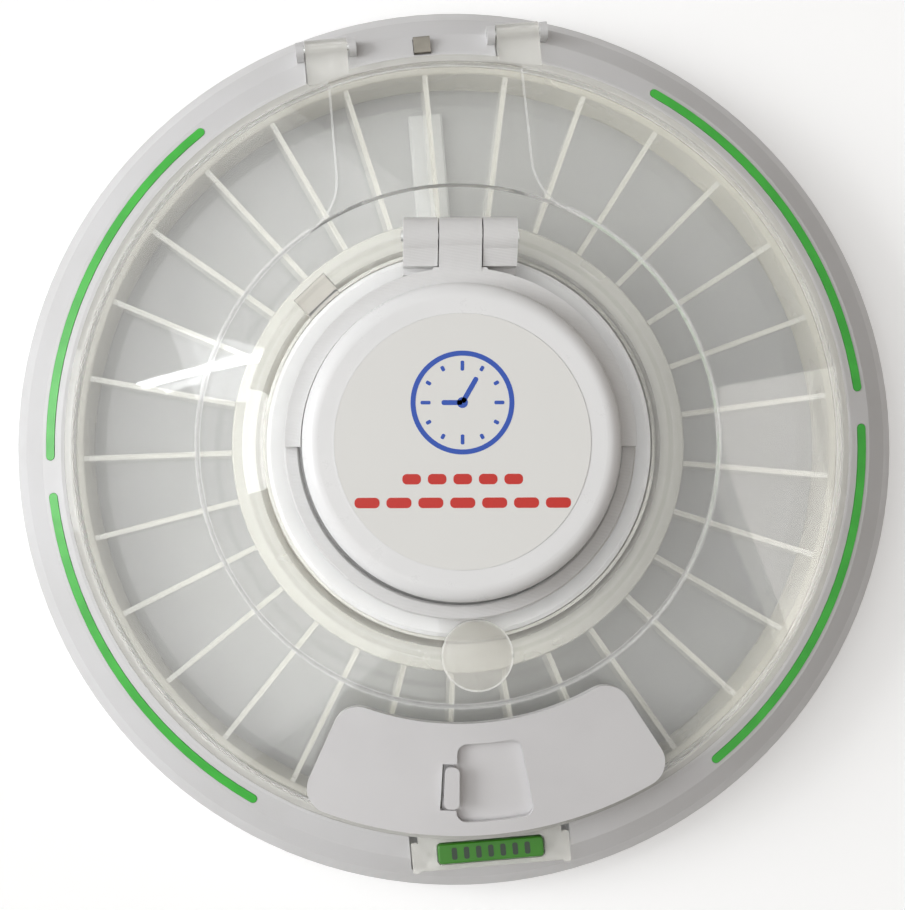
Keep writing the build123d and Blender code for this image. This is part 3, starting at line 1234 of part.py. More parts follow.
# Carousel: the tray in four parts, its floor resting on the gear ring's flange
divider_top_outer = lid_top(TRAY_INNER) - LID_THICK - DIVIDER_HEADROOM
with BuildPart() as tray_floor:
    with BuildSketch(Plane.XY.offset(TRAY_BOTTOM)):
        Circle(TRAY_RADIUS)
        Circle(COLLAR_INNER, mode=Mode.SUBTRACT)
    extrude(amount=TRAY_FLOOR_THICK)
tray_floor.part.label = "tray_floor"
export_step(tray_floor.part, "parts/tray_floor.step")

tray_rim_outline = [
    (TRAY_RADIUS, TRAY_FLOOR_TOP),
    (TRAY_RADIUS, divider_top_outer - TRAY_ROUND),
    (TRAY_RADIUS - TRAY_ROUND, divider_top_outer),
    (TRAY_INNER + TRAY_ROUND, divider_top_outer),
    (TRAY_INNER, divider_top_outer - TRAY_ROUND),
    (TRAY_INNER, TRAY_FLOOR_TOP),
]
with BuildPart() as tray_rim:
    revolve(section(tray_rim_outline), axis=Axis.Z)
tray_rim.part.label = "tray_rim"
export_step(tray_rim.part, "parts/tray_rim.step")

collar_outline = [
    (COLLAR_OUTER, TRAY_FLOOR_TOP),
    (COLLAR_OUTER, COLLAR_TOP - TRAY_ROUND),
    (COLLAR_OUTER - TRAY_ROUND, COLLAR_TOP),
    (COLLAR_INNER, COLLAR_TOP),
    (COLLAR_INNER, TRAY_FLOOR_TOP),
    (COLLAR_INNER + COLLAR_WALL, TRAY_FLOOR_TOP),
    (COLLAR_INNER + COLLAR_WALL, COLLAR_TOP - NOTCH_DEPTH - COLLAR_WALL),
    (COLLAR_OUTER - COLLAR_WALL, COLLAR_TOP - NOTCH_DEPTH - COLLAR_WALL),
    (COLLAR_OUTER - COLLAR_WALL, TRAY_FLOOR_TOP),
]
dog_plane = Plane.XY.rotated((0, 0, NOTCH_ANGLE))
dog_inner = HUB_RADIUS + (COLLAR_INNER - HUB_RADIUS - DOG_RADIAL) / 2
dog_reach = NOTCH_OUTER - SEAT_GAP - dog_inner
with BuildPart() as tray_collar:
    revolve(section(collar_outline), axis=Axis.Z)
    with BuildSketch(dog_plane.offset(COLLAR_TOP)):
        with Locations((COLLAR_INNER - OVERLAP, 0)):
            Rectangle(NOTCH_OUTER - COLLAR_INNER + OVERLAP, NOTCH_WIDTH, align=(Align.MIN, Align.CENTER))
    extrude(amount=-NOTCH_DEPTH, mode=Mode.SUBTRACT)
tray_collar.part.label = "tray_collar"
export_step(tray_collar.part, "parts/tray_collar.step")

divider_outline = [
    (COLLAR_OUTER + SEAT_GAP, TRAY_FLOOR_TOP),
    (TRAY_INNER - SEAT_GAP, TRAY_FLOOR_TOP),
    (TRAY_INNER - SEAT_GAP, divider_top_outer),
    (COLLAR_OUTER + SEAT_GAP, COLLAR_TOP - TRAY_ROUND),
]
with BuildPart() as tray_dividers:
    for step in range(COMPARTMENTS):
        turn = radians(BACK + PITCH * step)
        divider_plane = Plane(
            origin=(0, 0, 0), x_dir=(cos(turn), sin(turn), 0), z_dir=(sin(turn), -cos(turn), 0)
        )
        with BuildSketch(divider_plane):
            with BuildLine():
                Polyline(*divider_outline, close=True)
            make_face()
        extrude(amount=DIVIDER_THICK / 2, both=True)
tray_dividers.part.label = "tray_dividers"
export_step(tray_dividers.part, "parts/tray_dividers.step")

# Gear ring with inner teeth, a flange under the tray and a dog that stands up into the collar's notch
ring_teeth_root = RING_PITCH_RADIUS - ADDENDUM
ring_teeth_tip = RING_PITCH_RADIUS + DEDENDUM
ring_plane = Plane(origin=(0, 0, DRIVE_BOTTOM), x_dir=(0, -1, 0), z_dir=(0, 0, 1))
with BuildPart() as drive_ring:
    with BuildSketch(Plane.XY.offset(DRIVE_BOTTOM)):
        Circle(DRIVE_RING_RADIUS)
    extrude(amount=DRIVE_HEIGHT)
    with BuildSketch(Plane.XY.offset(TRAY_BOTTOM - DRIVE_FLANGE_THICK)):
        Circle(DRIVE_FLANGE_RADIUS)
        Circle(DRIVE_RING_RADIUS - OVERLAP, mode=Mode.SUBTRACT)
    extrude(amount=DRIVE_FLANGE_THICK)
    extrude(
        gear_outline(
            RING_TEETH, ring_teeth_root, ring_teeth_tip, pi * GEAR_MODULE / 2 + BACKLASH / 2, ring_plane
        ),
        amount=DRIVE_HEIGHT, mode=Mode.SUBTRACT,
    )
    with BuildSketch(dog_plane.offset(DRIVE_TOP)):
        with Locations((dog_inner, 0)):
            Rectangle(DOG_RADIAL, DOG_WIDTH, align=(Align.MIN, Align.CENTER))
    extrude(amount=COLLAR_TOP - DRIVE_TOP - EASY_GAP)
    with BuildSketch(dog_plane.offset(COLLAR_TOP - EASY_GAP)):
        with Locations((dog_inner, 0)):
            Rectangle(dog_reach, NOTCH_WIDTH - 2 * GAP, align=(Align.MIN, Align.CENTER))
    extrude(amount=-DOG_HEAD_HEIGHT)
drive_ring.part.label = "drive_ring"
export_step(drive_ring.part, "parts/drive_ring.step")

# Latch: a push bar in the pocket, and the slide under it that holds the lid's hooks
with BuildPart() as latch_button:
    with BuildSketch(Plane.XY.offset(BUTTON_BAR_TOP)):
        with Locations((0, BUTTON_BAR_Y)):
            RectangleRounded(BUTTON_BAR_LENGTH, BUTTON_BAR_DEPTH, BUTTON_BAR_CORNER)
    extrude(amount=-BUTTON_BAR_HEIGHT)
    fillet(latch_button.edges().group_by(Axis.Z)[-1], BUTTON_BAR_CORNER / 2)
latch_button.part.label = "latch_button"
export_step(latch_button.part, "parts/latch_button.step")

# Catch under the push bar: its tongues reach over the toes of the lid's hooks
catch_top = BUTTON_BAR_TOP - BUTTON_BAR_HEIGHT
catch_width = 2 * hook_x + HOOK_WIDTH
catch_outer_y = frame_outer_y + CATCH_INSET
tongue_tip_y = BUTTON_BAR_Y - HOOK_DEPTH / 2 - HOOK_TOE - CATCH_PLAY
tongue_top = FRAME_BOTTOM - 2 * GAP
with BuildPart() as latch_catch:
    with Locations((0, catch_outer_y, catch_top)):
        Box(
            catch_width, BUTTON_BAR_Y + BUTTON_BAR_DEPTH / 2 - catch_outer_y, CATCH_THICK,
            align=(Align.CENTER, Align.MIN, Align.MAX),
        )
    for side in (-1, 1):
        with Locations((side * hook_x, catch_outer_y, catch_top)):
            Box(
                HOOK_WIDTH, CATCH_LEG, tongue_top - catch_top,
                align=(Align.CENTER, Align.MIN, Align.MIN),
            )
        with Locations((side * hook_x, catch_outer_y, tongue_top)):
            Box(
                HOOK_WIDTH, tongue_tip_y - catch_outer_y, CATCH_TONGUE,
                align=(Align.CENTER, Align.MIN, Align.MAX),
            )
latch_catch.part.label = "latch_catch"
export_step(latch_catch.part, "parts/latch_catch.step")
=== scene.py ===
"""Looks of the electronic pill box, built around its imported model."""

from __future__ import annotations

import logging
import math
from dataclasses import dataclass
from enum import Enum
from typing import Callable, Sequence

import bmesh
import bpy
from mathutils import Matrix, Vector


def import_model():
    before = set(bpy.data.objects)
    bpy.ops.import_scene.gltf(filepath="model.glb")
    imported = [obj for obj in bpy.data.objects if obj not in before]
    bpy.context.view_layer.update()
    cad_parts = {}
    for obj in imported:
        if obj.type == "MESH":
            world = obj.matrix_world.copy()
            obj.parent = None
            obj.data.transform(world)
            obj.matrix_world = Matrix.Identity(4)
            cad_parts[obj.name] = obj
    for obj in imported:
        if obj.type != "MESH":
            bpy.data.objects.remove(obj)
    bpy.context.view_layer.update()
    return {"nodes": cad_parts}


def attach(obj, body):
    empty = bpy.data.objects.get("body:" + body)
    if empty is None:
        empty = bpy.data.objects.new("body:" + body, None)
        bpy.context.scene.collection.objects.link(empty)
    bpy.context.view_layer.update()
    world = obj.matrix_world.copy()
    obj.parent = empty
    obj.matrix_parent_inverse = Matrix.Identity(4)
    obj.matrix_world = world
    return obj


LOG = logging.getLogger("pill_box")
MM = 0.001
SEEN_BY = ("Is Camera Ray", "Is Glossy Ray", "Is Transmission Ray")
PLASTIC_INDEX = 1.49
Colour = tuple[float, float, float]
Point = tuple[float, float]
Point3 = tuple[float, float, float]
EVEN: Point3 = (1.0, 1.0, 1.0)
COOL: Colour = (0.97, 0.985, 1.0)
WARM: Colour = (1.0, 0.97, 0.93)
WHITE: Colour = (1.0, 1.0, 1.0)


class Body(Enum):
    """The bodies that the scene's own pieces ride on."""

    BASE = "base"
    LID = "lid"
    CAP = "cap"
    CAROUSEL = "carousel"
    LATCH = "latch"
    SET_KEY = "set_key"
    DOWN_KEY = "down_key"
    UP_KEY = "up_key"


class Signal:
    """A value that flows through a shader, as a socket that takes Python's operators."""

    def __init__(self, draft: Draft, socket: bpy.types.NodeSocket) -> None:
        """Wraps a socket.

        Args:
            draft: The draft whose nodes the socket belongs to.
            socket: The output socket.
        """
        self.draft = draft
        self.socket = socket

    def _math(self, operation: str, first: Signal | float, second: Signal | float = 0.0) -> Signal:
        """Adds a Math node and returns its value.

        Args:
            operation: The node's operation.
            first: A signal or a number.
            second: A signal or a number.

        Returns:
            The result as a signal.
        """
        node = self.draft.node("ShaderNodeMath", {"operation": operation}, {0: first, 1: second})
        return Signal(self.draft, node.outputs[0])

    def __add__(self, other: Signal | float) -> Signal:
        """Sum."""
        return self._math("ADD", self, other)

    def __radd__(self, other: Signal | float) -> Signal:
        """Sum with a number on the left."""
        return self._math("ADD", other, self)

    def __sub__(self, other: Signal | float) -> Signal:
        """Difference."""
        return self._math("SUBTRACT", self, other)

    def __rsub__(self, other: Signal | float) -> Signal:
        """Difference with a number on the left."""
        return self._math("SUBTRACT", other, self)

    def __mul__(self, other: Signal | float) -> Signal:
        """Product."""
        return self._math("MULTIPLY", self, other)

    def __rmul__(self, other: Signal | float) -> Signal:
        """Product with a number on the left."""
        return self._math("MULTIPLY", other, self)

    def __pow__(self, other: Signal | float) -> Signal:
        """Power."""
        return self._math("POWER", self, other)

    def __gt__(self, other: Signal | float) -> Signal:
        """1 where this is the larger, else 0."""
        return self._math("GREATER_THAN", self, other)

    def sine(self) -> Signal:
        """Sine of this, taken as radians."""
        return self._math("SINE", self)

    def sway(self, reach: float) -> Signal:
        """This noise around 0.5, made to swing around 0 by at most half the reach."""
        return (self - 0.5) * reach

    def between(self, low: float, high: float) -> Signal:
        """This, spread so that low is 0 and high is 1, and smooth at both ends.

        Args:
            low: The value that becomes 0.
            high: The value that becomes 1.

        Returns:
            The spread value, from 0 to 1.
        """
        settings = {"interpolation_type": "SMOOTHSTEP"}
        inputs = {"Value": self, "From Min": low, "From Max": high}
        node = self.draft.node("ShaderNodeMapRange", settings, inputs)
        return Signal(self.draft, node.outputs["Result"])


class Draft:
    """The nodes of a material, or of the sky, while they are drawn up."""

    def __init__(self, owner: bpy.types.Material | bpy.types.World) -> None:
        """Starts with no nodes.

        Args:
            owner: The new material or world.
        """
        self.owner = owner
        owner.use_nodes = True
        self.tree = owner.node_tree
        self.tree.nodes.clear()

    def node(self, kind: str, settings: dict[str, object], inputs: dict[object, object]) -> bpy.types.Node:
        """Adds a node, sets it up and joins or fills its sockets.

        Args:
            kind: The node's type.
            settings: The node's own settings.
            inputs: A signal, a socket or a value for each named or numbered socket.

        Returns:
            The node.
        """
        node = self.tree.nodes.new(kind)
        for name, value in settings.items():
            setattr(node, name, value)
        for key, value in inputs.items():
            if isinstance(value, Signal):
                value = value.socket
            if isinstance(value, bpy.types.NodeSocket):
                self.tree.links.new(value, node.inputs[key])
            else:
                node.inputs[key].default_value = value
        return node

    def place(self, stretch: Point3 = EVEN) -> bpy.types.NodeSocket:
        """Gives the place on the piece, in metres.

        Args:
            stretch: How much each axis is scaled.

        Returns:
            The socket with the place.
        """
        coords = self.node("ShaderNodeTexCoord", {}, {}).outputs["Object"]
        if stretch == EVEN:
            return coords
        return self.node("ShaderNodeMapping", {}, {"Vector": coords, "Scale": stretch}).outputs[0]

    def axis(self, name: str) -> Signal:
        """Gives one coordinate of the place on the piece, in metres.

        Args:
            name: X, Y or Z.

        Returns:
            The coordinate.
        """
        split = self.node("ShaderNodeSeparateXYZ", {}, {"Vector": self.place()})
        return Signal(self, split.outputs[name])

    def radius(self) -> Signal:
        """Gives the distance from the object's upright middle line, in metres."""
        across, along = self.axis("X"), self.axis("Y")
        return (across * across + along * along) ** 0.5

    def waves(self, axis: str, pitch: float, wander: Signal) -> Signal:
        """Gives straight waves across an axis, which wander a little.

        Args:
            axis: X, Y or Z.
            pitch: The distance from crest to crest, in millimetres.
            wander: How far the waves are shifted, in radians.

        Returns:
            The waves, from -1 to 1.
        """
        return (self.axis(axis) * (2 * math.pi / (pitch * MM)) + wander).sine()

    def noise(self, size: float, detail: float = 2.0, stretch: Point3 = EVEN) -> Signal:
        """Gives cloudy noise around 0.5.

        Args:
            size: The size of its blotches, in millimetres.
            detail: How many finer layers it has.
            stretch: How much each axis is scaled.

        Returns:
            The noise, from 0 to 1.
        """
        inputs = {"Vector": self.place(stretch), "Scale": 1.0 / (size * MM), "Detail": detail}
        node = self.node("ShaderNodeTexNoise", {}, inputs)
        return Signal(self, node.outputs[0])

    def seen(self) -> Signal:
        """Above 0 for what the camera sees, also mirrored or through clear plastic, else 0."""
        path = self.node("ShaderNodeLightPath", {}, {})
        return sum((Signal(self, path.outputs[name]) for name in SEEN_BY), start=0.0)

    def mix(self, share: Signal, first: Colour, second: Colour) -> Signal:
        """Mixes two colours.

        Args:
            share: 0 for the first colour, 1 for the second.
            first: A colour.
            second: A colour.

        Returns:
            The mixed colour.
        """
        ends = {6: (*first, 1.0), 7: (*second, 1.0), 0: share}
        node = self.node("ShaderNodeMix", {"data_type": "RGBA"}, ends)
        return Signal(self, node.outputs[2])

    def bump(self, height: Signal, depth: float) -> Signal:
        """Turns a height into a bumped normal.

        Args:
            height: The height, 0 to 1.
            depth: What 1 stands for, in millimetres.

        Returns:
            The normal.
        """
        node = self.node("ShaderNodeBump", {}, {"Height": height, "Distance": depth * MM})
        return Signal(self, node.outputs["Normal"])

    def principled(self, inputs: dict[object, object]) -> bpy.types.Node:
        """Adds the main surface shader.

        Args:
            inputs: Values and signals for its sockets.

        Returns:
            The shader node.
        """
        return self.node("ShaderNodeBsdfPrincipled", {}, inputs)

    def blend(
        self, share: Signal | bpy.types.NodeSocket, first: bpy.types.Node, second: bpy.types.Node
    ) -> bpy.types.Node:
        """Mixes two shaders.

        Args:
            share: 0 for the first shader, 1 for the second.
            first: A shader node.
            second: A shader node.

        Returns:
            The node that mixes them.
        """
        ends = {0: share, 1: first.outputs[0], 2: second.outputs[0]}
        return self.node("ShaderNodeMixShader", {}, ends)

    def close(self, shader: bpy.types.Node) -> bpy.types.Material:
        """Joins the last shader to the material's output.

        Args:
            shader: The shader's node.

        Returns:
            The finished material.
        """
        self.node("ShaderNodeOutputMaterial", {}, {"Surface": shader.outputs[0]})
        return self.owner

    def surface(self, inputs: dict[object, object]) -> bpy.types.Material:
        """Closes the material with a main surface shader alone.

        Args:
            inputs: Values and signals for the shader's sockets.

        Returns:
            The finished material.
        """
        return self.close(self.principled(inputs))


def dimmed(colour: Colour, share: float, lift: float = 0.0) -> Colour:
    """Gives a darker shade of a colour.

    Args:
        colour: The colour.
        share: How much of each part is left.
        lift: What is then added to each part.

    Returns:
        The shade.
    """
    return tuple(part * share + lift for part in colour)


@dataclass(frozen=True)
class Finish:
    """A surface finish that is drawn once and then shared.

    Sizes of patterns and heights of relief are in millimetres. Edges are the values of a noise between
    which a pattern fades in, and what ends in gloss is added to the roughness where its pattern is full.
    """

    name: str

    def material(self) -> bpy.types.Material:
        """The material, drawn up at its first use."""
        title = f"look_{self.name}"
        return bpy.data.materials.get(title) or self.draw(Draft(bpy.data.materials.new(title)))

    def draw(self, draft: Draft) -> bpy.types.Material:
        """Draws the material.

        Args:
            draft: The empty material.

        Returns:
            The finished material.
        """
        raise NotImplementedError


@dataclass(frozen=True)
class Moulded(Finish):
    """Opaque moulded plastic with a fine spark-eroded grain and faint flow marks."""

    colour: Colour
    shade: Colour
    roughness: float = 0.4
    grain: float = 0.35
    relief: float = 0.006
    flow: float = 24.0
    flow_edges: Point = (0.35, 0.7)
    flow_relief: float = 0.4
    touched: float = 6.0
    touched_gloss: float = 0.16
    grain_gloss: float = 0.06
    coat: float = 0.0
    coat_roughness: float = 0.12

    def draw(self, draft: Draft) -> bpy.types.Material:
        """Draws the plastic.

        Args:
            draft: The empty material.

        Returns:
            The finished material.
        """
        flow = draft.noise(self.flow, 3.0)
        grain = draft.noise(self.grain, 1.0)
        touched = draft.noise(self.touched, 4.0)
        inputs = {
            "Base Color": draft.mix(flow.between(*self.flow_edges), self.colour, self.shade),
            "Roughness": self.roughness + touched.sway(self.touched_gloss) + grain.sway(self.grain_gloss),
            "IOR": PLASTIC_INDEX,
            "Coat Weight": self.coat,
            "Coat Roughness": self.coat_roughness,
            "Normal": draft.bump(grain + flow * self.flow_relief, self.relief),
        }
        return draft.surface(inputs)


@dataclass(frozen=True)
class Printed(Finish):
    """White plastic printed in layers, whose edges show as fine lines."""

    colour: Colour
    shade: Colour
    layer: float = 0.32
    wander: float = 0.9
    wander_size: float = 9.0
    tone_size: float = 3.0
    tone_relief: float = 0.3
    roughness: float = 0.42
    groove_gloss: float = 0.16
    relief: float = 0.035

    def draw(self, draft: Draft) -> bpy.types.Material:
        """Draws the printed plastic.

        Args:
            draft: The empty material.

        Returns:
            The finished material.
        """
        wander = draft.noise(self.wander_size, 2.0) * self.wander
        line = draft.waves("Y", self.layer, wander) * 0.5 + 0.5
        tone = draft.noise(self.tone_size, 3.0)
        inputs = {
            "Base Color": draft.mix(line * 0.5 + tone * 0.5, self.shade, self.colour),
            "Roughness": self.roughness + (1.0 - line) * self.groove_gloss,
            "Normal": draft.bump(line + tone * self.tone_relief, self.relief),
        }
        return draft.surface(inputs)


@dataclass(frozen=True)
class Clear(Finish):
    """See-through plastic that lets the lamps reach what it covers."""

    tint: Colour
    roughness: float = 0.02
    haze: float = 0.0
    haze_colour: Colour = (0.72, 0.71, 0.67)
    scuff: float = 0.02
    cloud: float = 14.0
    index: float = PLASTIC_INDEX
    rim: float = 1000.0
    rim_haze: float = 0.0
    rim_blend: float = 0.3
    scuff_size: float = 7.0
    scuff_edges: Point = (0.5, 0.8)
    cloud_share: float = 0.3
    tint_left: float = 0.99
    haze_left: float = 0.95
    haze_roughness: float = 0.3
    haze_gloss: float = 0.2

    def draw(self, draft: Draft) -> bpy.types.Material:
        """Draws the clear plastic, milkier outside its rim's radius.

        Args:
            draft: The empty material.

        Returns:
            The finished material.
        """
        cloud = draft.noise(self.cloud, 2.0)
        scuff = draft.noise(self.scuff_size, 2.0).between(*self.scuff_edges)
        body = draft.principled(
            {
                "Base Color": draft.mix(cloud, self.tint, dimmed(self.tint, self.tint_left)),
                "Roughness": self.roughness + scuff * self.scuff,
                "IOR": self.index,
                "Transmission Weight": 1.0,
            }
        )
        film = draft.principled(
            {
                "Base Color": draft.mix(cloud, self.haze_colour, dimmed(self.haze_colour, self.haze_left)),
                "Roughness": self.haze_roughness + scuff * self.haze_gloss,
            }
        )
        inside, outside = (self.rim - self.rim_blend) * MM, (self.rim + self.rim_blend) * MM
        milk = draft.radius().between(inside, outside) * self.rim_haze + self.haze
        share = (cloud.sway(self.cloud_share) + 1.0) * milk
        seen = draft.blend(share, body, film)
        lamps = draft.node("ShaderNodeBsdfTransparent", {}, {"Color": (*self.tint, 1.0)})
        shadow = draft.node("ShaderNodeLightPath", {}, {}).outputs["Is Shadow Ray"]
        return draft.close(draft.blend(shadow, seen, lamps))


@dataclass(frozen=True)
class Metal(Finish):
    """Plain or brushed metal."""

    colour: Colour
    roughness: float = 0.3
    brush: Point3 = EVEN
    line: float = 0.6
    line_gloss: float = 0.16
    stain: float = 5.0
    stain_edges: Point = (0.4, 0.8)
    stain_left: float = 0.82
    stain_gloss: float = 0.1
    relief: float = 0.006

    def draw(self, draft: Draft) -> bpy.types.Material:
        """Draws the metal.

        Args:
            draft: The empty material.

        Returns:
            The finished material.
        """
        lines = draft.noise(self.line, 2.0, self.brush)
        stain = draft.noise(self.stain, 4.0).between(*self.stain_edges)
        inputs = {
            "Base Color": draft.mix(stain, self.colour, dimmed(self.colour, self.stain_left)),
            "Metallic": 1.0,
            "Roughness": self.roughness + lines.sway(self.line_gloss) + stain * self.stain_gloss,
            "Normal": draft.bump(lines, self.relief),
        }
        return draft.surface(inputs)


@dataclass(frozen=True)
class Glow(Finish):
    """Coloured light guide: deep colour with a glossy skin and a faint inner light."""

    colour: Colour
    deep: Colour
    light: float = 0.0
    cloud: float = 7.0
    cloud_edges: Point = (0.3, 0.75)
    roughness: float = 0.26
    cloud_gloss: float = 0.14
    ripple: float = 1.1
    relief: float = 0.008

    def draw(self, draft: Draft) -> bpy.types.Material:
        """Draws the light guide.

        Args:
            draft: The empty material.

        Returns:
            The finished material.
        """
        cloud = draft.noise(self.cloud, 2.0)
        inputs = {
            "Base Color": draft.mix(cloud.between(*self.cloud_edges), self.colour, self.deep),
            "Roughness": self.roughness + cloud * self.cloud_gloss,
            "Emission Color": (*self.colour, 1.0),
            "Emission Strength": self.light,
            "Normal": draft.bump(draft.noise(self.ripple, 2.0), self.relief),
        }
        return draft.surface(inputs)


@dataclass(frozen=True)
class Film(Finish):
    """Printed film with a paper core: faint fibres and a satin laminate."""

    colour: Colour
    shade: Colour
    fibre: float = 0.5
    fibre_stretch: Point3 = (1.0, 3.0, 1.0)
    fibre_share: float = 0.35
    fibre_gloss: float = 0.12
    cloud: float = 18.0
    roughness: float = 0.4
    relief: float = 0.004

    def draw(self, draft: Draft) -> bpy.types.Material:
        """Draws the film.

        Args:
            draft: The empty material.

        Returns:
            The finished material.
        """
        fibre = draft.noise(self.fibre, 3.0, self.fibre_stretch)
        tone = fibre * self.fibre_share + draft.noise(self.cloud, 2.0) * (1.0 - self.fibre_share)
        inputs = {
            "Base Color": draft.mix(tone, self.colour, self.shade),
            "Roughness": self.roughness + fibre * self.fibre_gloss,
            "Normal": draft.bump(fibre, self.relief),
        }
        return draft.surface(inputs)


@dataclass(frozen=True)
class Ink(Finish):
    """Printed ink, a little uneven."""

    colour: Colour
    spread: float = 0.8
    spread_left: float = 0.86
    spread_lift: float = 0.01
    spread_gloss: float = 0.12
    roughness: float = 0.38

    def draw(self, draft: Draft) -> bpy.types.Material:
        """Draws the ink.

        Args:
            draft: The empty material.

        Returns:
            The finished material.
        """
        spread = draft.noise(self.spread, 3.0)
        thin = dimmed(self.colour, self.spread_left, self.spread_lift)
        inputs = {
            "Base Color": draft.mix(spread, self.colour, thin),
            "Roughness": self.roughness + spread * self.spread_gloss,
        }
        return draft.surface(inputs)


@dataclass(frozen=True)
class Board(Finish):
    """Circuit board lacquer with copper tracks that show through."""

    colour: Colour
    track: Colour
    pitch: float = 2.4
    bend: float = 14.0
    bend_size: float = 12.0
    lane_crest: float = 0.55
    lane_share: float = 0.6
    weave: float = 0.4
    weave_gloss: float = 0.15
    weave_relief: float = 0.3
    roughness: float = 0.3
    relief: float = 0.02

    def draw(self, draft: Draft) -> bpy.types.Material:
        """Draws the board.

        Args:
            draft: The empty material.

        Returns:
            The finished material.
        """
        bend = draft.noise(self.bend_size, 1.0) * self.bend
        lanes = (draft.waves("X", self.pitch, bend) > self.lane_crest) * self.lane_share
        weave = draft.noise(self.weave, 1.0)
        inputs = {
            "Base Color": draft.mix(lanes, self.colour, self.track),
            "Roughness": self.roughness + weave * self.weave_gloss,
            "Normal": draft.bump(lanes + weave * self.weave_relief, self.relief),
        }
        return draft.surface(inputs)


@dataclass(frozen=True)
class Banded(Finish):
    """Battery sleeve: one colour with a band of another near its end, and a satin sheen."""

    colour: Colour
    band: Colour
    edge: float
    band_metal: float = 0.7
    wear: float = 2.0
    wear_gloss: float = 0.16
    roughness: float = 0.28
    relief: float = 0.01

    def draw(self, draft: Draft) -> bpy.types.Material:
        """Draws the sleeve.

        Args:
            draft: The empty material.

        Returns:
            The finished material.
        """
        band = draft.axis("X") > self.edge * MM
        wear = draft.noise(self.wear, 3.0)
        inputs = {
            "Base Color": draft.mix(band, self.colour, self.band),
            "Metallic": band * self.band_metal,
            "Roughness": self.roughness + wear * self.wear_gloss,
            "Normal": draft.bump(wear, self.relief),
        }
        return draft.surface(inputs)


@dataclass(frozen=True)
class Rubber(Finish):
    """Soft dark rubber with a dusty grain."""

    colour: Colour
    dust: Colour
    dust_size: float = 4.0
    dust_edges: Point = (0.45, 0.85)
    dust_share: float = 0.5
    grain: float = 0.3
    grain_gloss: float = 0.15
    roughness: float = 0.75
    relief: float = 0.02

    def draw(self, draft: Draft) -> bpy.types.Material:
        """Draws the rubber.

        Args:
            draft: The empty material.

        Returns:
            The finished material.
        """
        dust = draft.noise(self.dust_size, 5.0).between(*self.dust_edges)
        grain = draft.noise(self.grain, 1.0)
        inputs = {
            "Base Color": draft.mix(dust * self.dust_share, self.colour, self.dust),
            "Roughness": self.roughness + grain * self.grain_gloss,
            "Normal": draft.bump(grain, self.relief),
        }
        return draft.surface(inputs)


SHELL = Moulded("shell_white", (0.66, 0.655, 0.66), (0.63, 0.625, 0.625), 0.36)
WELL = Moulded("well_white", (0.39, 0.395, 0.405), (0.36, 0.365, 0.375), 0.5)
PLATE = Moulded("plate_white", (0.72, 0.71, 0.715), (0.68, 0.67, 0.675), 0.4, relief=0.012)
CAP = Moulded("cap_white", (0.89, 0.89, 0.89), (0.86, 0.86, 0.86), 0.3, coat=0.1)
PRINTED = Printed("printed_white", (0.80, 0.795, 0.79), (0.72, 0.715, 0.71))
LABEL = Film("label_film", (0.85, 0.845, 0.82), (0.82, 0.815, 0.79))
BLUE_INK = Ink("ink_blue", (0.018, 0.085, 0.48))
RED_INK = Ink("ink_red", (0.62, 0.022, 0.012))
DARK_INK = Ink("ink_dark", (0.012, 0.03, 0.012))
LID = Clear("lid_clear", (0.988, 0.988, 0.98), haze=0.05, rim=91.0, rim_haze=0.45)
LENS = Clear("lens_clear", (0.985, 0.98, 0.965), 0.12, 0.3, (0.62, 0.61, 0.57), index=1.18)
# Milky white clear plastic for the step and lens beads: a painted highlight along those edges.
EDGE = Clear("edge_bright", (0.99, 0.99, 0.985), 0.05, 0.15, (0.9, 0.9, 0.89))
TRAY = Clear("tray_natural", (0.965, 0.965, 0.96), 0.06, 0.06, (0.66, 0.66, 0.64), 0.015)
TRAY_WALL = Clear("tray_wall", (0.975, 0.968, 0.945), 0.1, 0.32, (0.70, 0.68, 0.60), 0.01)
DIVIDER = Clear("divider_natural", (0.985, 0.982, 0.965), 0.08, 0.24, (0.87, 0.86, 0.80), 0.015)
COLLAR = Clear("collar_frosted", (0.985, 0.982, 0.965), 0.1, 0.3, (0.86, 0.85, 0.79), 0.015)
CREAM = Moulded("gear_cream", (0.47, 0.445, 0.40), (0.43, 0.405, 0.36), 0.45)
DUCT = Moulded("duct_white", (0.62, 0.63, 0.64), (0.58, 0.59, 0.60), 0.4)
BAR = Glow("bar_green", (0.045, 0.46, 0.04), (0.03, 0.36, 0.03), 0.08)
BUTTON = Glow("button_green", (0.03, 0.20, 0.002), (0.022, 0.165, 0.001), 0.01)
# Spring steel is dark brown, far below the other steels: its colour paints in the dark brown reflection on
# the blade (painted reflection).
STEEL = Metal("spring_steel", (0.22, 0.205, 0.175), 0.38, (1.0, 8.0, 1.0))
PIN = Metal("pin_steel", (0.62, 0.62, 0.61), 0.2)
SCREW = Metal("screw_steel", (0.56, 0.56, 0.55), 0.3)
CELL_STEEL = Metal("cell_steel", (0.66, 0.66, 0.65), 0.25)
MOTOR = Metal("motor_can", (0.60, 0.60, 0.58), 0.34, (1.0, 1.0, 9.0))
BOARD = Board("board_green", (0.008, 0.09, 0.03), (0.03, 0.2, 0.07))
SLEEVE = Banded("battery_sleeve", (0.02, 0.02, 0.022), (0.62, 0.35, 0.06), 12.0)
BLACK = Moulded("black_plastic", (0.02, 0.02, 0.02), (0.028, 0.028, 0.028), 0.45)
GLASS = Clear("display_glass", (0.93, 0.95, 0.95), 0.02)
KEYS = Moulded("key_grey", (0.28, 0.29, 0.30), (0.25, 0.26, 0.27), 0.5)
KEY_MARK = Ink("ink_white", (0.72, 0.72, 0.70))
PANEL = Moulded("display_face", (0.34, 0.40, 0.31), (0.31, 0.37, 0.28), 0.3, relief=0.002)
FEET = Rubber("foot_rubber", (0.025, 0.025, 0.027), (0.12, 0.115, 0.11))

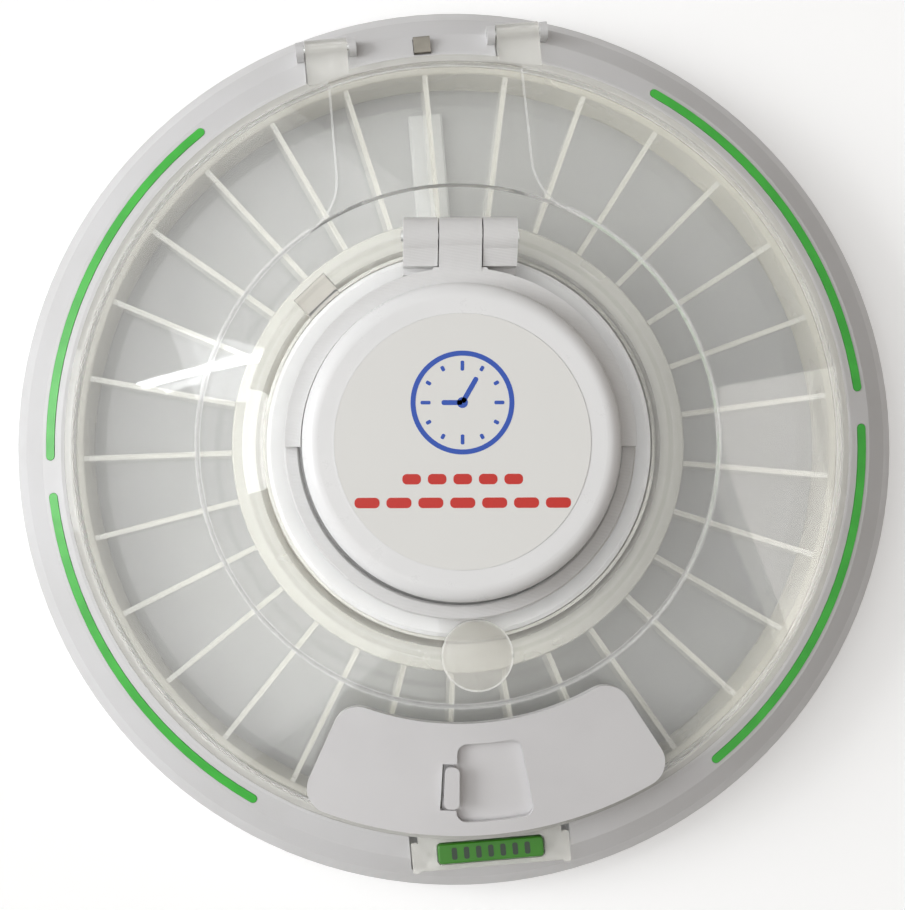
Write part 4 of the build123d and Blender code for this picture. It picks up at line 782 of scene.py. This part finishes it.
ALL_BARS = ("top", "middle", "foot", "upper_left", "upper_right", "lower_left", "lower_right")
EMPTY_MIDDLE = tuple(name for name in ALL_BARS if name != "middle")
DIGITS = (EMPTY_MIDDLE, ALL_BARS, ("top", "middle", "foot", "upper_right", "lower_right"), EMPTY_MIDDLE)


def stand(name: str, data: bpy.types.ID) -> bpy.types.Object:
    """Puts a mesh, lamp or camera in the scene.

    Args:
        name: The new object's name.
        data: What it shows.

    Returns:
        The object.
    """
    thing = bpy.data.objects.new(name, data)
    bpy.context.scene.collection.objects.link(thing)
    return thing


def span(middle: float, reach: Point) -> Point:
    """Gives the two ends of a span about a value.

    Args:
        middle: The value.
        reach: How far the span goes below it and above it.

    Returns:
        The low end and the high end.
    """
    return (middle - reach[0], middle + reach[1])


def away(start: Point, degrees: float, length: float) -> Point:
    """Goes from a spot in a direction.

    Args:
        start: The spot.
        degrees: The direction, counter-clockwise from +X.
        length: How far it goes.

    Returns:
        The new spot.
    """
    angle = math.radians(degrees)
    return (start[0] + length * math.cos(angle), start[1] + length * math.sin(angle))


class Workpiece:
    """A mesh that is shaped with bmesh operators, in millimetres."""

    ARC_STEP: float = 3.75
    CORNER_FACES: int = 6
    WELD: float = 0.0005
    SMOOTH_BELOW: float = 35.0

    def __init__(self) -> None:
        """Starts an empty mesh."""
        self.bm = bmesh.new()

    def block(
        self, size: Sequence[float], middle: Sequence[float], degrees: float = 0.0, rounding: float = 0.0
    ) -> Workpiece:
        """Adds a block, its upright edges rounded.

        Args:
            size: Its length, depth and height.
            middle: Where its middle is.
            degrees: How far it is turned about its upright axis.
            rounding: The radius of its upright edges.

        Returns:
            This workpiece.
        """
        turned = Matrix.Rotation(math.radians(degrees), 4, "Z")
        matrix = Matrix.Translation(middle) @ turned @ Matrix.Diagonal((*size, 1.0))
        made = bmesh.ops.create_cube(self.bm, size=1.0, matrix=matrix)
        if rounding:
            edges = {edge for vertex in made["verts"] for edge in vertex.link_edges}
            upright = [edge for edge in edges if abs(edge.verts[0].co.z - edge.verts[1].co.z) > size[2] / 2]
            self._bevel(upright, rounding, self.CORNER_FACES)
        return self

    def disc(
        self, radius: float, heights: Point, middle: Point, sides: int = 48, degrees: float = 0.0
    ) -> Workpiece:
        """Adds a flat disc, or a prism when it has few sides.

        Args:
            radius: Its radius.
            heights: Height of its underside and of its top.
            middle: Where its axis stands.
            sides: How many faces go round.
            degrees: How far it is turned about its axis.

        Returns:
            This workpiece.
        """
        low, high = heights
        place = Matrix.Translation((*middle, (low + high) / 2))
        bmesh.ops.create_cone(
            self.bm,
            cap_ends=True,
            segments=sides,
            radius1=radius,
            radius2=radius,
            depth=high - low,
            matrix=place @ Matrix.Rotation(math.radians(degrees), 4, "Z"),
        )
        return self

    def band(
        self,
        radii: Point,
        heights: Point,
        middle: Point = (0.0, 0.0),
        start: float = 0.0,
        sweep: float = 360.0,
    ) -> Workpiece:
        """Adds a flat ring, or a part of one, by spinning its section.

        Args:
            radii: Its inner and outer radius.
            heights: Height of its underside and of its top.
            middle: Where its axis stands.
            start: Where it starts, in degrees from +X.
            sweep: How far it goes round, in degrees.

        Returns:
            This workpiece.
        """
        (inner, outer), (low, high) = radii, heights
        turned = Matrix.Translation((*middle, 0.0)) @ Matrix.Rotation(math.radians(start), 4, "Z")
        place = Matrix.Translation(((inner + outer) / 2, 0.0, (low + high) / 2))
        upright = Matrix.Rotation(math.pi / 2, 4, "X")
        matrix = turned @ place @ upright @ Matrix.Diagonal((outer - inner, high - low, 1.0, 1.0))
        made = bmesh.ops.create_grid(self.bm, x_segments=1, y_segments=1, size=0.5, matrix=matrix)
        face = made["verts"][0].link_faces[0]
        closed = sweep == 360.0
        bmesh.ops.spin(
            self.bm,
            geom=[face, *face.edges, *face.verts],
            cent=(*middle, 0.0),
            axis=(0, 0, 1),
            angle=math.radians(sweep),
            steps=max(6, round(sweep / self.ARC_STEP)),
            use_merge=closed,
        )
        if closed and face.is_valid:
            bmesh.ops.delete(self.bm, geom=[face], context="FACES_ONLY")
        return self

    def drape(self, height: Callable[[float], float]) -> Workpiece:
        """Lifts every point by the height of a round surface below it.

        Args:
            height: Gives the surface's height at a distance from the origin's axis.

        Returns:
            This workpiece.
        """
        for vert in self.bm.verts:
            vert.co.z += height(math.hypot(vert.co.x, vert.co.y))
        return self

    def soften(self, width: float, segments: int = 2, least: float = 30.0) -> Workpiece:
        """Rounds the sharp edges.

        Args:
            width: How far the rounding reaches from an edge.
            segments: How many faces it has.
            least: The least angle, in degrees, of an edge that is rounded.

        Returns:
            This workpiece.
        """
        self.bm.normal_update()
        sharp = [e for e in self.bm.edges if e.is_manifold and e.calc_face_angle() > math.radians(least)]
        self._bevel(sharp, width, segments)
        return self

    def _bevel(self, edges: list[bmesh.types.BMEdge], width: float, segments: int) -> None:
        """Rounds some edges.

        Args:
            edges: The edges.
            width: How far the rounding reaches from an edge.
            segments: How many faces it has.
        """
        bmesh.ops.bevel(
            self.bm,
            geom=edges,
            offset=width,
            offset_type="OFFSET",
            affect="EDGES",
            segments=segments,
            profile=0.5,
            material=-1,
        )

    def become(self, name: str, finish: Finish, body: Body, slot: str) -> bpy.types.Object:
        """Turns the mesh into a finished piece that rides on a body.

        Args:
            name: The piece's name.
            finish: Its finish.
            body: The body that it rides on.
            slot: Not used (the record's material slot for its finish).

        Returns:
            The piece.
        """
        bmesh.ops.remove_doubles(self.bm, verts=self.bm.verts, dist=self.WELD)
        bmesh.ops.recalc_face_normals(self.bm, faces=self.bm.faces)
        bmesh.ops.scale(self.bm, vec=(MM, MM, MM), verts=self.bm.verts)
        mesh = bpy.data.meshes.new(name)
        self.bm.to_mesh(mesh)
        self.bm.free()
        mesh.materials.append(finish.material())
        mesh.polygons.foreach_set("use_smooth", [True] * len(mesh.polygons))
        mesh.set_sharp_from_angle(angle=math.radians(self.SMOOTH_BELOW))
        piece = stand(name, mesh)
        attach(piece, body.value)
        return piece


@dataclass
class Assembly:
    """A group of pieces that belong together on the object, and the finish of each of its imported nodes."""

    nodes: dict[str, bpy.types.Object]
    finishes = {}

    def build(self) -> list[bpy.types.Object]:
        """Makes the group's own pieces; a plain group has none."""
        return []

    def dress(self) -> list[str]:
        """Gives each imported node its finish.

        Returns:
            The names of the nodes.
        """
        for name, finish in self.finishes.items():
            for holder in self.nodes[name].material_slots:
                holder.material = finish.material()
        return list(self.finishes)


class Casing(Assembly):
    """White ring, bottom cover, feet and light bars."""

    finishes = {
        "outer_bezel": SHELL,
        "bottom_cover": SHELL,
        "battery_door": SHELL,
        "housing_screws": SCREW,
        "feet": FEET,
        "led_boards": BOARD,
        **{f"light_bar_{end}_{side}": BAR for end in ("rear", "front") for side in ("left", "right")},
    }


@dataclass
class Well(Assembly):
    """Floor under the tray, wire duct and hub tower with its display and keys."""

    key_y: float = -13.0
    key_pitch: float = 14.0
    key_top: float = 36.2
    mark_radius: float = 1.5
    mark_reach: Point = (0.06, 0.04)
    panel_y: float = 9.0
    panel_top: float = 32.4
    panel_size: Point3 = (30.2, 13.2, 0.16)
    panel_corner: float = 0.6
    digit_places: tuple[float, ...] = (-10.0, -4.0, 4.0, 10.0)
    digit_height: float = 8.0
    digit_lift: float = 0.1
    bar_size: Point3 = (3.3, 0.8, 0.12)
    bar_corner: float = 0.3
    dot_size: Point3 = (0.9, 0.9, 0.12)
    dot_corner: float = 0.2
    dot_reach: float = 1.6

    finishes = {
        "well_floor": WELL,
        "wire_duct": DUCT,
        "duct_wires": BLACK,
        "hub_tower": SHELL,
        "set_button": KEYS,
        "down_button": KEYS,
        "up_button": KEYS,
        "tact_switches": BLACK,
        "display_module": BLACK,
        "display_window": GLASS,
        "main_board": BOARD,
        "board_screws": SCREW,
        "buzzer": BLACK,
    }

    def build(self) -> list[bpy.types.Object]:
        """Marks the keys and puts a face and digits on the display."""
        pieces = [self.panel(), self.digits()]
        marks = ((Body.SET_KEY, 48, 0.0), (Body.DOWN_KEY, 3, 180.0), (Body.UP_KEY, 3, 0.0))
        for step, (body, sides, degrees) in zip((-1, 0, 1), marks):
            spot = (step * self.key_pitch, self.key_y)
            heights = span(self.key_top, self.mark_reach)
            work = Workpiece().disc(self.mark_radius, heights, spot, sides, degrees)
            pieces.append(work.become(f"{body.value}_mark", KEY_MARK, body, "grey_keys"))
        return pieces

    def panel(self) -> bpy.types.Object:
        """The pale face of the display."""
        middle = (0.0, self.panel_y, self.panel_top)
        work = Workpiece().block(self.panel_size, middle, rounding=self.panel_corner)
        return work.become("display_face", PANEL, Body.BASE, "black_plastic")

    def digits(self) -> bpy.types.Object:
        """Four numerals of seven bars each, with the two dots of a clock."""
        half, reach = self.digit_height / 2, self.digit_height / 4
        bars = {
            "top": (0.0, half, 0.0),
            "middle": (0.0, 0.0, 0.0),
            "foot": (0.0, -half, 0.0),
            "upper_left": (-reach, half / 2, 90.0),
            "upper_right": (reach, half / 2, 90.0),
            "lower_left": (-reach, -half / 2, 90.0),
            "lower_right": (reach, -half / 2, 90.0),
        }
        high = self.panel_top + self.digit_lift
        work = Workpiece()
        for across, lit in zip(self.digit_places, DIGITS):
            for name in lit:
                x, y, degrees = bars[name]
                place = (across + x, self.panel_y + y, high)
                work.block(self.bar_size, place, degrees, self.bar_corner)
        for y in (-self.dot_reach, self.dot_reach):
            work.block(self.dot_size, (0.0, self.panel_y + y, high), rounding=self.dot_corner)
        return work.become("display_digits", BLACK, Body.BASE, "black_plastic")


class Drive(Assembly):
    """Motor, pinion and the ring gear that turns the tray."""

    finishes = {
        "gear_motor": MOTOR,
        "motor_screws": SCREW,
        "motor_shaft": PIN,
        "drive_pinion": CREAM,
        "drive_ring": CREAM,
    }


class Power(Assembly):
    """Battery box, cells and contacts."""

    finishes = {"battery_box": BLACK, "batteries": SLEEVE, "battery_contacts": STEEL}


@dataclass
class Tray(Assembly):
    """See-through tray with its compartments, and a painted shadow strip on the drive dog at its home place.
    """

    home: float = 128.3
    reach: float = 45.55
    top: float = 30.92
    # Size and corner rounding of the dark strip, a painted shadow of the gap beside the drive dog.
    shadow_strip_size: Point3 = (0.9, 8.8, 0.1)
    shadow_strip_corner: float = 0.2

    finishes = {"tray_floor": TRAY, "tray_rim": TRAY_WALL, "tray_dividers": DIVIDER, "tray_collar": COLLAR}

    def build(self) -> list[bpy.types.Object]:
        """Puts a small dark strip on the drive dog in the collar's notch: painted shadow of the gap between
        the dog and the hub.
        """
        spot = away((0.0, 0.0), self.home, self.reach)
        work = Workpiece().block(self.shadow_strip_size, (*spot, self.top), self.home, self.shadow_strip_corner)
        return [work.become("home_marker", BLACK, Body.CAROUSEL, "cream_gear")]


@dataclass
class Lid(Assembly):
    """Clear lid, its hinge, reading lens, dose window and shutter."""

    edge_radius: float = 91.5
    edge_top: float = 27.5
    slope: float = 0.175
    step: float = 60.7
    step_height: float = 0.8
    tongue_half: float = 23.0
    tongue_margin: float = 4.0
    fillet: float = 14.0
    crest_reach: Point = (0.02, 0.12)
    crest_width: Point = (0.75, 0.1)
    bend_width: Point = (0.1, 0.45)
    foot_height: Point = (-0.2, 0.45)
    foot_width: Point = (-0.02, 0.75)
    side_inset: float = 0.2
    side_width: float = 0.55
    lens_spot: Point = (0.0, -48.5)
    lens_radius: float = 8.2
    lens_top: float = 39.1
    lens_width: Point = (0.35, 0.1)
    lens_reach: Point = (0.3, 0.25)
    lens_softness: float = 0.1
    lip_spot: Point3 = (18.05, -97.0, 23.85)
    lip_size: Point3 = (1.7, 7.4, 0.6)
    lip_corner: float = 0.5

    finishes = {
        "lid_shell": LID,
        "reading_lens": LENS,
        "lid_hinge_pins": PIN,
        "lid_sensor_blade": STEEL,
        "dose_window_plate": PLATE,
        "dose_shutter": PLATE,
    }

    def build(self) -> list[bpy.types.Object]:
        """Adds the painted highlight beads along the step and round the lens, and the lips of the catch
        frame.
        """
        return [self.step_painted_highlight(), self.lens_bead(), self.frame_lips()]

    def top(self, radius: float) -> float:
        """Height of the lid's slope at a radius."""
        return self.edge_top + (self.edge_radius - radius) * self.slope

    def step_painted_highlight(self) -> bpy.types.Object:
        """A rounded, milky white bead along the step and both sides of its tongue, laid on the slope: a
        painted highlight that shows the step's edge as a light line.
        """
        across, reach = self.tongue_half + self.fillet, self.step + self.fillet
        along = math.sqrt(reach**2 - across**2)
        gap = math.degrees(math.asin(across / reach))
        crest = span(self.step_height, self.crest_reach)
        work = Workpiece()
        for width, heights in ((self.crest_width, crest), (self.foot_width, self.foot_height)):
            work.band(span(self.step, width), heights, start=90.0 + gap, sweep=360.0 - 2 * gap)
        length = self.edge_radius - self.tongue_margin - along
        for side, first in ((1, 180.0), (-1, 270.0 + gap)):
            bend = span(self.fillet, self.bend_width)
            work.band(bend, crest, (side * across, along), first, 90.0 - gap)
            place = (side * (self.tongue_half - self.side_inset), along + length / 2, sum(crest) / 2)
            work.block((self.side_width, length, crest[1] - crest[0]), place)
        return work.drape(self.top).become("lid_step_bead", EDGE, Body.LID, "clear_lid")

    def frame_lips(self) -> bpy.types.Object:
        """The thin ends of the catch frame, which reach into the button's pocket."""
        work = Workpiece()
        for side in (-1, 1):
            across, along, high = self.lip_spot
            work.block(self.lip_size, (side * across, along, high), rounding=self.lip_corner)
        return work.become("catch_frame_lips", LID, Body.LID, "clear_lid")

    def lens_bead(self) -> bpy.types.Object:
        """The thin raised edge round the lens, milky white so that it also shows as a painted highlight on
        the rim.
        """
        radii, heights = span(self.lens_radius, self.lens_width), span(self.lens_top, self.lens_reach)
        work = Workpiece().band(radii, heights, self.lens_spot).soften(self.lens_softness)
        return work.become("lens_bead", EDGE, Body.LID, "clear_lens")


@dataclass
class Latch(Assembly):
    """Green latch button, the marks on it and its catch."""

    top: float = 25.0
    along: float = -96.4
    marks: int = 7
    pitch: float = 2.9
    mark_size: Point3 = (1.3, 2.9, 0.08)
    mark_corner: float = 0.5

    finishes = {"latch_button": BUTTON, "latch_catch": SHELL}

    def build(self) -> list[bpy.types.Object]:
        """Prints a row of dark bars on the button."""
        work = Workpiece()
        for step in range(self.marks):
            across = (step - (self.marks - 1) / 2) * self.pitch
            work.block(self.mark_size, (across, self.along, self.top), rounding=self.mark_corner)
        return [work.become("latch_marks", DARK_INK, Body.LATCH, "green_button")]


@dataclass
class Cap(Assembly):
    """Hinged round cap over the hub, with the print on its label."""

    turn: float = -4.75
    print_top: float = 52.75
    print_half: float = 0.04
    dial_y: float = 8.6
    dial_radius: float = 11.4
    dial_line: float = 1.1
    hub_radius: float = 1.2
    hour_lengths: Point = (2.2, 1.2)
    hour_width: float = 0.8
    hour_inset: float = 2.2
    hour_corner: float = 0.3
    hand_corner: float = 0.5
    hands: tuple[Point, ...] = ((60.0, 6.4), (180.0, 4.6))
    rows: tuple[tuple[float, int, float], ...] = ((-8.2, 5, 5.6), (-13.4, 7, 7.0))
    dash_gap: float = 1.5
    dash_width: float = 2.3
    dash_corner: float = 1.0

    finishes = {
        "cap_mount_ring": PRINTED,
        "cap_yoke": PRINTED,
        "cap_base": PRINTED,
        "cap_shell": CAP,
        "cap_label": LABEL,
        "cap_hinge_pin": PIN,
        "tag_board": BOARD,
        "coin_cell": CELL_STEEL,
    }

    def build(self) -> list[bpy.types.Object]:
        """Prints the label."""
        return [self.dial(), self.dashes()]

    def dial(self) -> bpy.types.Object:
        """A clock face in blue: ring, hour marks and two hands."""
        heights = span(self.print_top, (self.print_half, self.print_half))
        thick = heights[1] - heights[0]
        middle = self.turned((0.0, self.dial_y))
        work = Workpiece().band(span(self.dial_radius, (self.dial_line, 0.0)), heights, middle)
        work.disc(self.hub_radius, heights, middle)
        for hour in range(12):
            length = self.hour_lengths[0 if hour % 3 == 0 else 1]
            angle = 30.0 * hour + self.turn
            spot = away(middle, angle, self.dial_radius - self.hour_inset - length / 2)
            size = (length, self.hour_width, thick)
            work.block(size, (*spot, self.print_top), angle, self.hour_corner)
        for angle, length in self.hands:
            spot = away(middle, angle + self.turn, length / 2)
            size = (length, self.dial_line, thick)
            work.block(size, (*spot, self.print_top), angle + self.turn, self.hand_corner)
        return work.become("label_dial", BLUE_INK, Body.CAP, "label_film")

    def dashes(self) -> bpy.types.Object:
        """Two rows of red dashes under the clock face."""
        work = Workpiece()
        for along, count, pitch in self.rows:
            for step in range(count):
                spot = self.turned(((step - (count - 1) / 2) * pitch, along))
                size = (pitch - self.dash_gap, self.dash_width, 2 * self.print_half)
                work.block(size, (*spot, self.print_top), self.turn, self.dash_corner)
        return work.become("label_rows", RED_INK, Body.CAP, "label_film")

    def turned(self, spot: Point) -> Point:
        """Turns a spot with the label.

        Args:
            spot: A place on the label, before it is turned.

        Returns:
            The place on the object.
        """
        place = Matrix.Rotation(math.radians(self.turn), 2) @ Vector(spot)
        return (place.x, place.y)


@dataclass(frozen=True)
class Lamp:
    """Soft rectangular lamp that faces the object, placed and sized in metres."""

    name: str
    place: Point3
    size: Point
    level: float
    colour: Colour = COOL
    along: Point3 = (0.0, 1.0, 0.0)

    def hang(self) -> None:
        """Hangs the lamp so that its face has its level, where 1 is white."""
        data = bpy.data.lights.new(self.name, "AREA")
        data.shape = "RECTANGLE"
        data.size, data.size_y = self.size
        data.energy = self.level * math.pi * self.size[0] * self.size[1]
        data.color = self.colour
        back = Vector(self.place).normalized()
        side = back.cross(Vector(self.along).cross(back)).normalized()
        turned = Matrix((side, back.cross(side), back)).transposed().to_4x4()
        stand(self.name, data).matrix_world = Matrix.Translation(self.place) @ turned


LAMPS = (
    Lamp("tube", (-0.465, 0.248, 0.909), (0.17, 0.012), 22.0, along=(0.884, 0.468, 0.0)),
    Lamp("glow", (-0.44, 0.25, 0.93), (0.13, 0.11), 3.0),
    Lamp("ceiling", (-1.05, 0.2, 1.9), (2.6, 2.6), 1.2),
    Lamp("window", (-2.5, 0.4, 1.45), (1.4, 1.4), 6.4),
    Lamp("lobby", (1.1, -0.42, 1.5), (1.3, 0.17), 2.6, WARM),
)


@dataclass
class Studio:
    """Camera, floor, sky and lamps, in millimetres, apart from the metres between which the floor fades."""

    eye: Point3 = (-18.5, -13.5, 380.0)
    roll: float = 4.9
    lens: float = 59.0
    shift: Point = (0.0755, 0.0607)
    nearest: float = 10.0
    floor_half: float = 3000.0
    floor_cloud: float = 400.0
    floor_roughness: float = 0.9
    floor_tones: tuple[Colour, Colour] = ((0.86, 0.86, 0.86), (0.84, 0.84, 0.84))
    floor_glow: float = 0.3
    fade: Point = (0.2, 0.9)
    lit: Colour = (0.30, 0.29, 0.275)
    shade: Colour = (0.085, 0.062, 0.04)
    turnover: Point = (-0.6, 0.7)

    def camera(self) -> None:
        """Hangs the camera above the object, looking straight down as in the photograph."""
        data = bpy.data.cameras.new("photo_camera")
        data.lens = self.lens
        data.shift_x, data.shift_y = self.shift
        data.clip_start = self.nearest * MM
        camera = stand("photo_camera", data)
        place = Matrix.Translation(Vector(self.eye) * MM)
        camera.matrix_world = place @ Matrix.Rotation(math.radians(-self.roll), 4, "Z")
        bpy.context.scene.camera = camera

    def floor(self) -> None:
        """Lays a plain pale floor that keeps the object's shadow and fades to white far away."""
        draft = Draft(bpy.data.materials.new("floor_pale"))
        tone = draft.mix(draft.noise(self.floor_cloud, 2.0), *self.floor_tones)
        surface = draft.principled({"Base Color": tone, "Roughness": self.floor_roughness})
        seen = draft.seen()
        white = draft.node("ShaderNodeEmission", {}, {"Strength": seen * self.floor_glow})
        both = draft.node("ShaderNodeAddShader", {}, {0: surface.outputs[0], 1: white.outputs[0]})
        horizon = draft.node("ShaderNodeEmission", {}, {"Strength": seen > 0.5})
        pale = draft.close(draft.blend(draft.radius().between(*self.fade), both, horizon))
        sheet = bmesh.new()
        bmesh.ops.create_grid(sheet, x_segments=1, y_segments=1, size=self.floor_half * MM)
        mesh = bpy.data.meshes.new("floor")
        sheet.to_mesh(mesh)
        sheet.free()
        mesh.materials.append(pale)
        floor = stand("floor", mesh)

    def sky(self) -> None:
        """Fills the room with soft light that is darker on the right, as in the photograph."""
        world = bpy.data.worlds.new("room")
        bpy.context.scene.world = world
        draft = Draft(world)
        bearing = draft.node("ShaderNodeTexCoord", {}, {}).outputs["Generated"]
        split = draft.node("ShaderNodeSeparateXYZ", {}, {"Vector": bearing})
        right = Signal(draft, split.outputs["X"]).between(*self.turnover)
        light = draft.node("ShaderNodeBackground", {}, {"Color": draft.mix(right, self.lit, self.shade)})
        white = draft.node("ShaderNodeBackground", {}, {"Color": (*WHITE, 1.0)})
        both = draft.blend(draft.seen() > 0.5, light, white)
        draft.node("ShaderNodeOutputWorld", {}, {"Surface": both.outputs[0]})

    def set_up(self) -> None:
        """Sets everything around the object."""
        bpy.context.scene.view_settings.view_transform = "Standard"
        self.camera()
        self.floor()
        self.sky()
        for lamp in LAMPS:
            lamp.hang()


def main() -> None:
    """Builds and dresses the object, then sets the studio around it."""
    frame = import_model()
    for kind in (Casing, Well, Drive, Power, Tray, Lid, Latch, Cap):
        group = kind(frame["nodes"])
        dressed = group.dress()
        made = [piece.name for piece in group.build()]
        LOG.info("%s: dressed %s; made %s", kind.__name__, ", ".join(dressed), ", ".join(made) or "nothing")
    Studio().set_up()


if __name__ == "__main__":
    logging.basicConfig(level=logging.INFO, format="%(message)s")
    main()
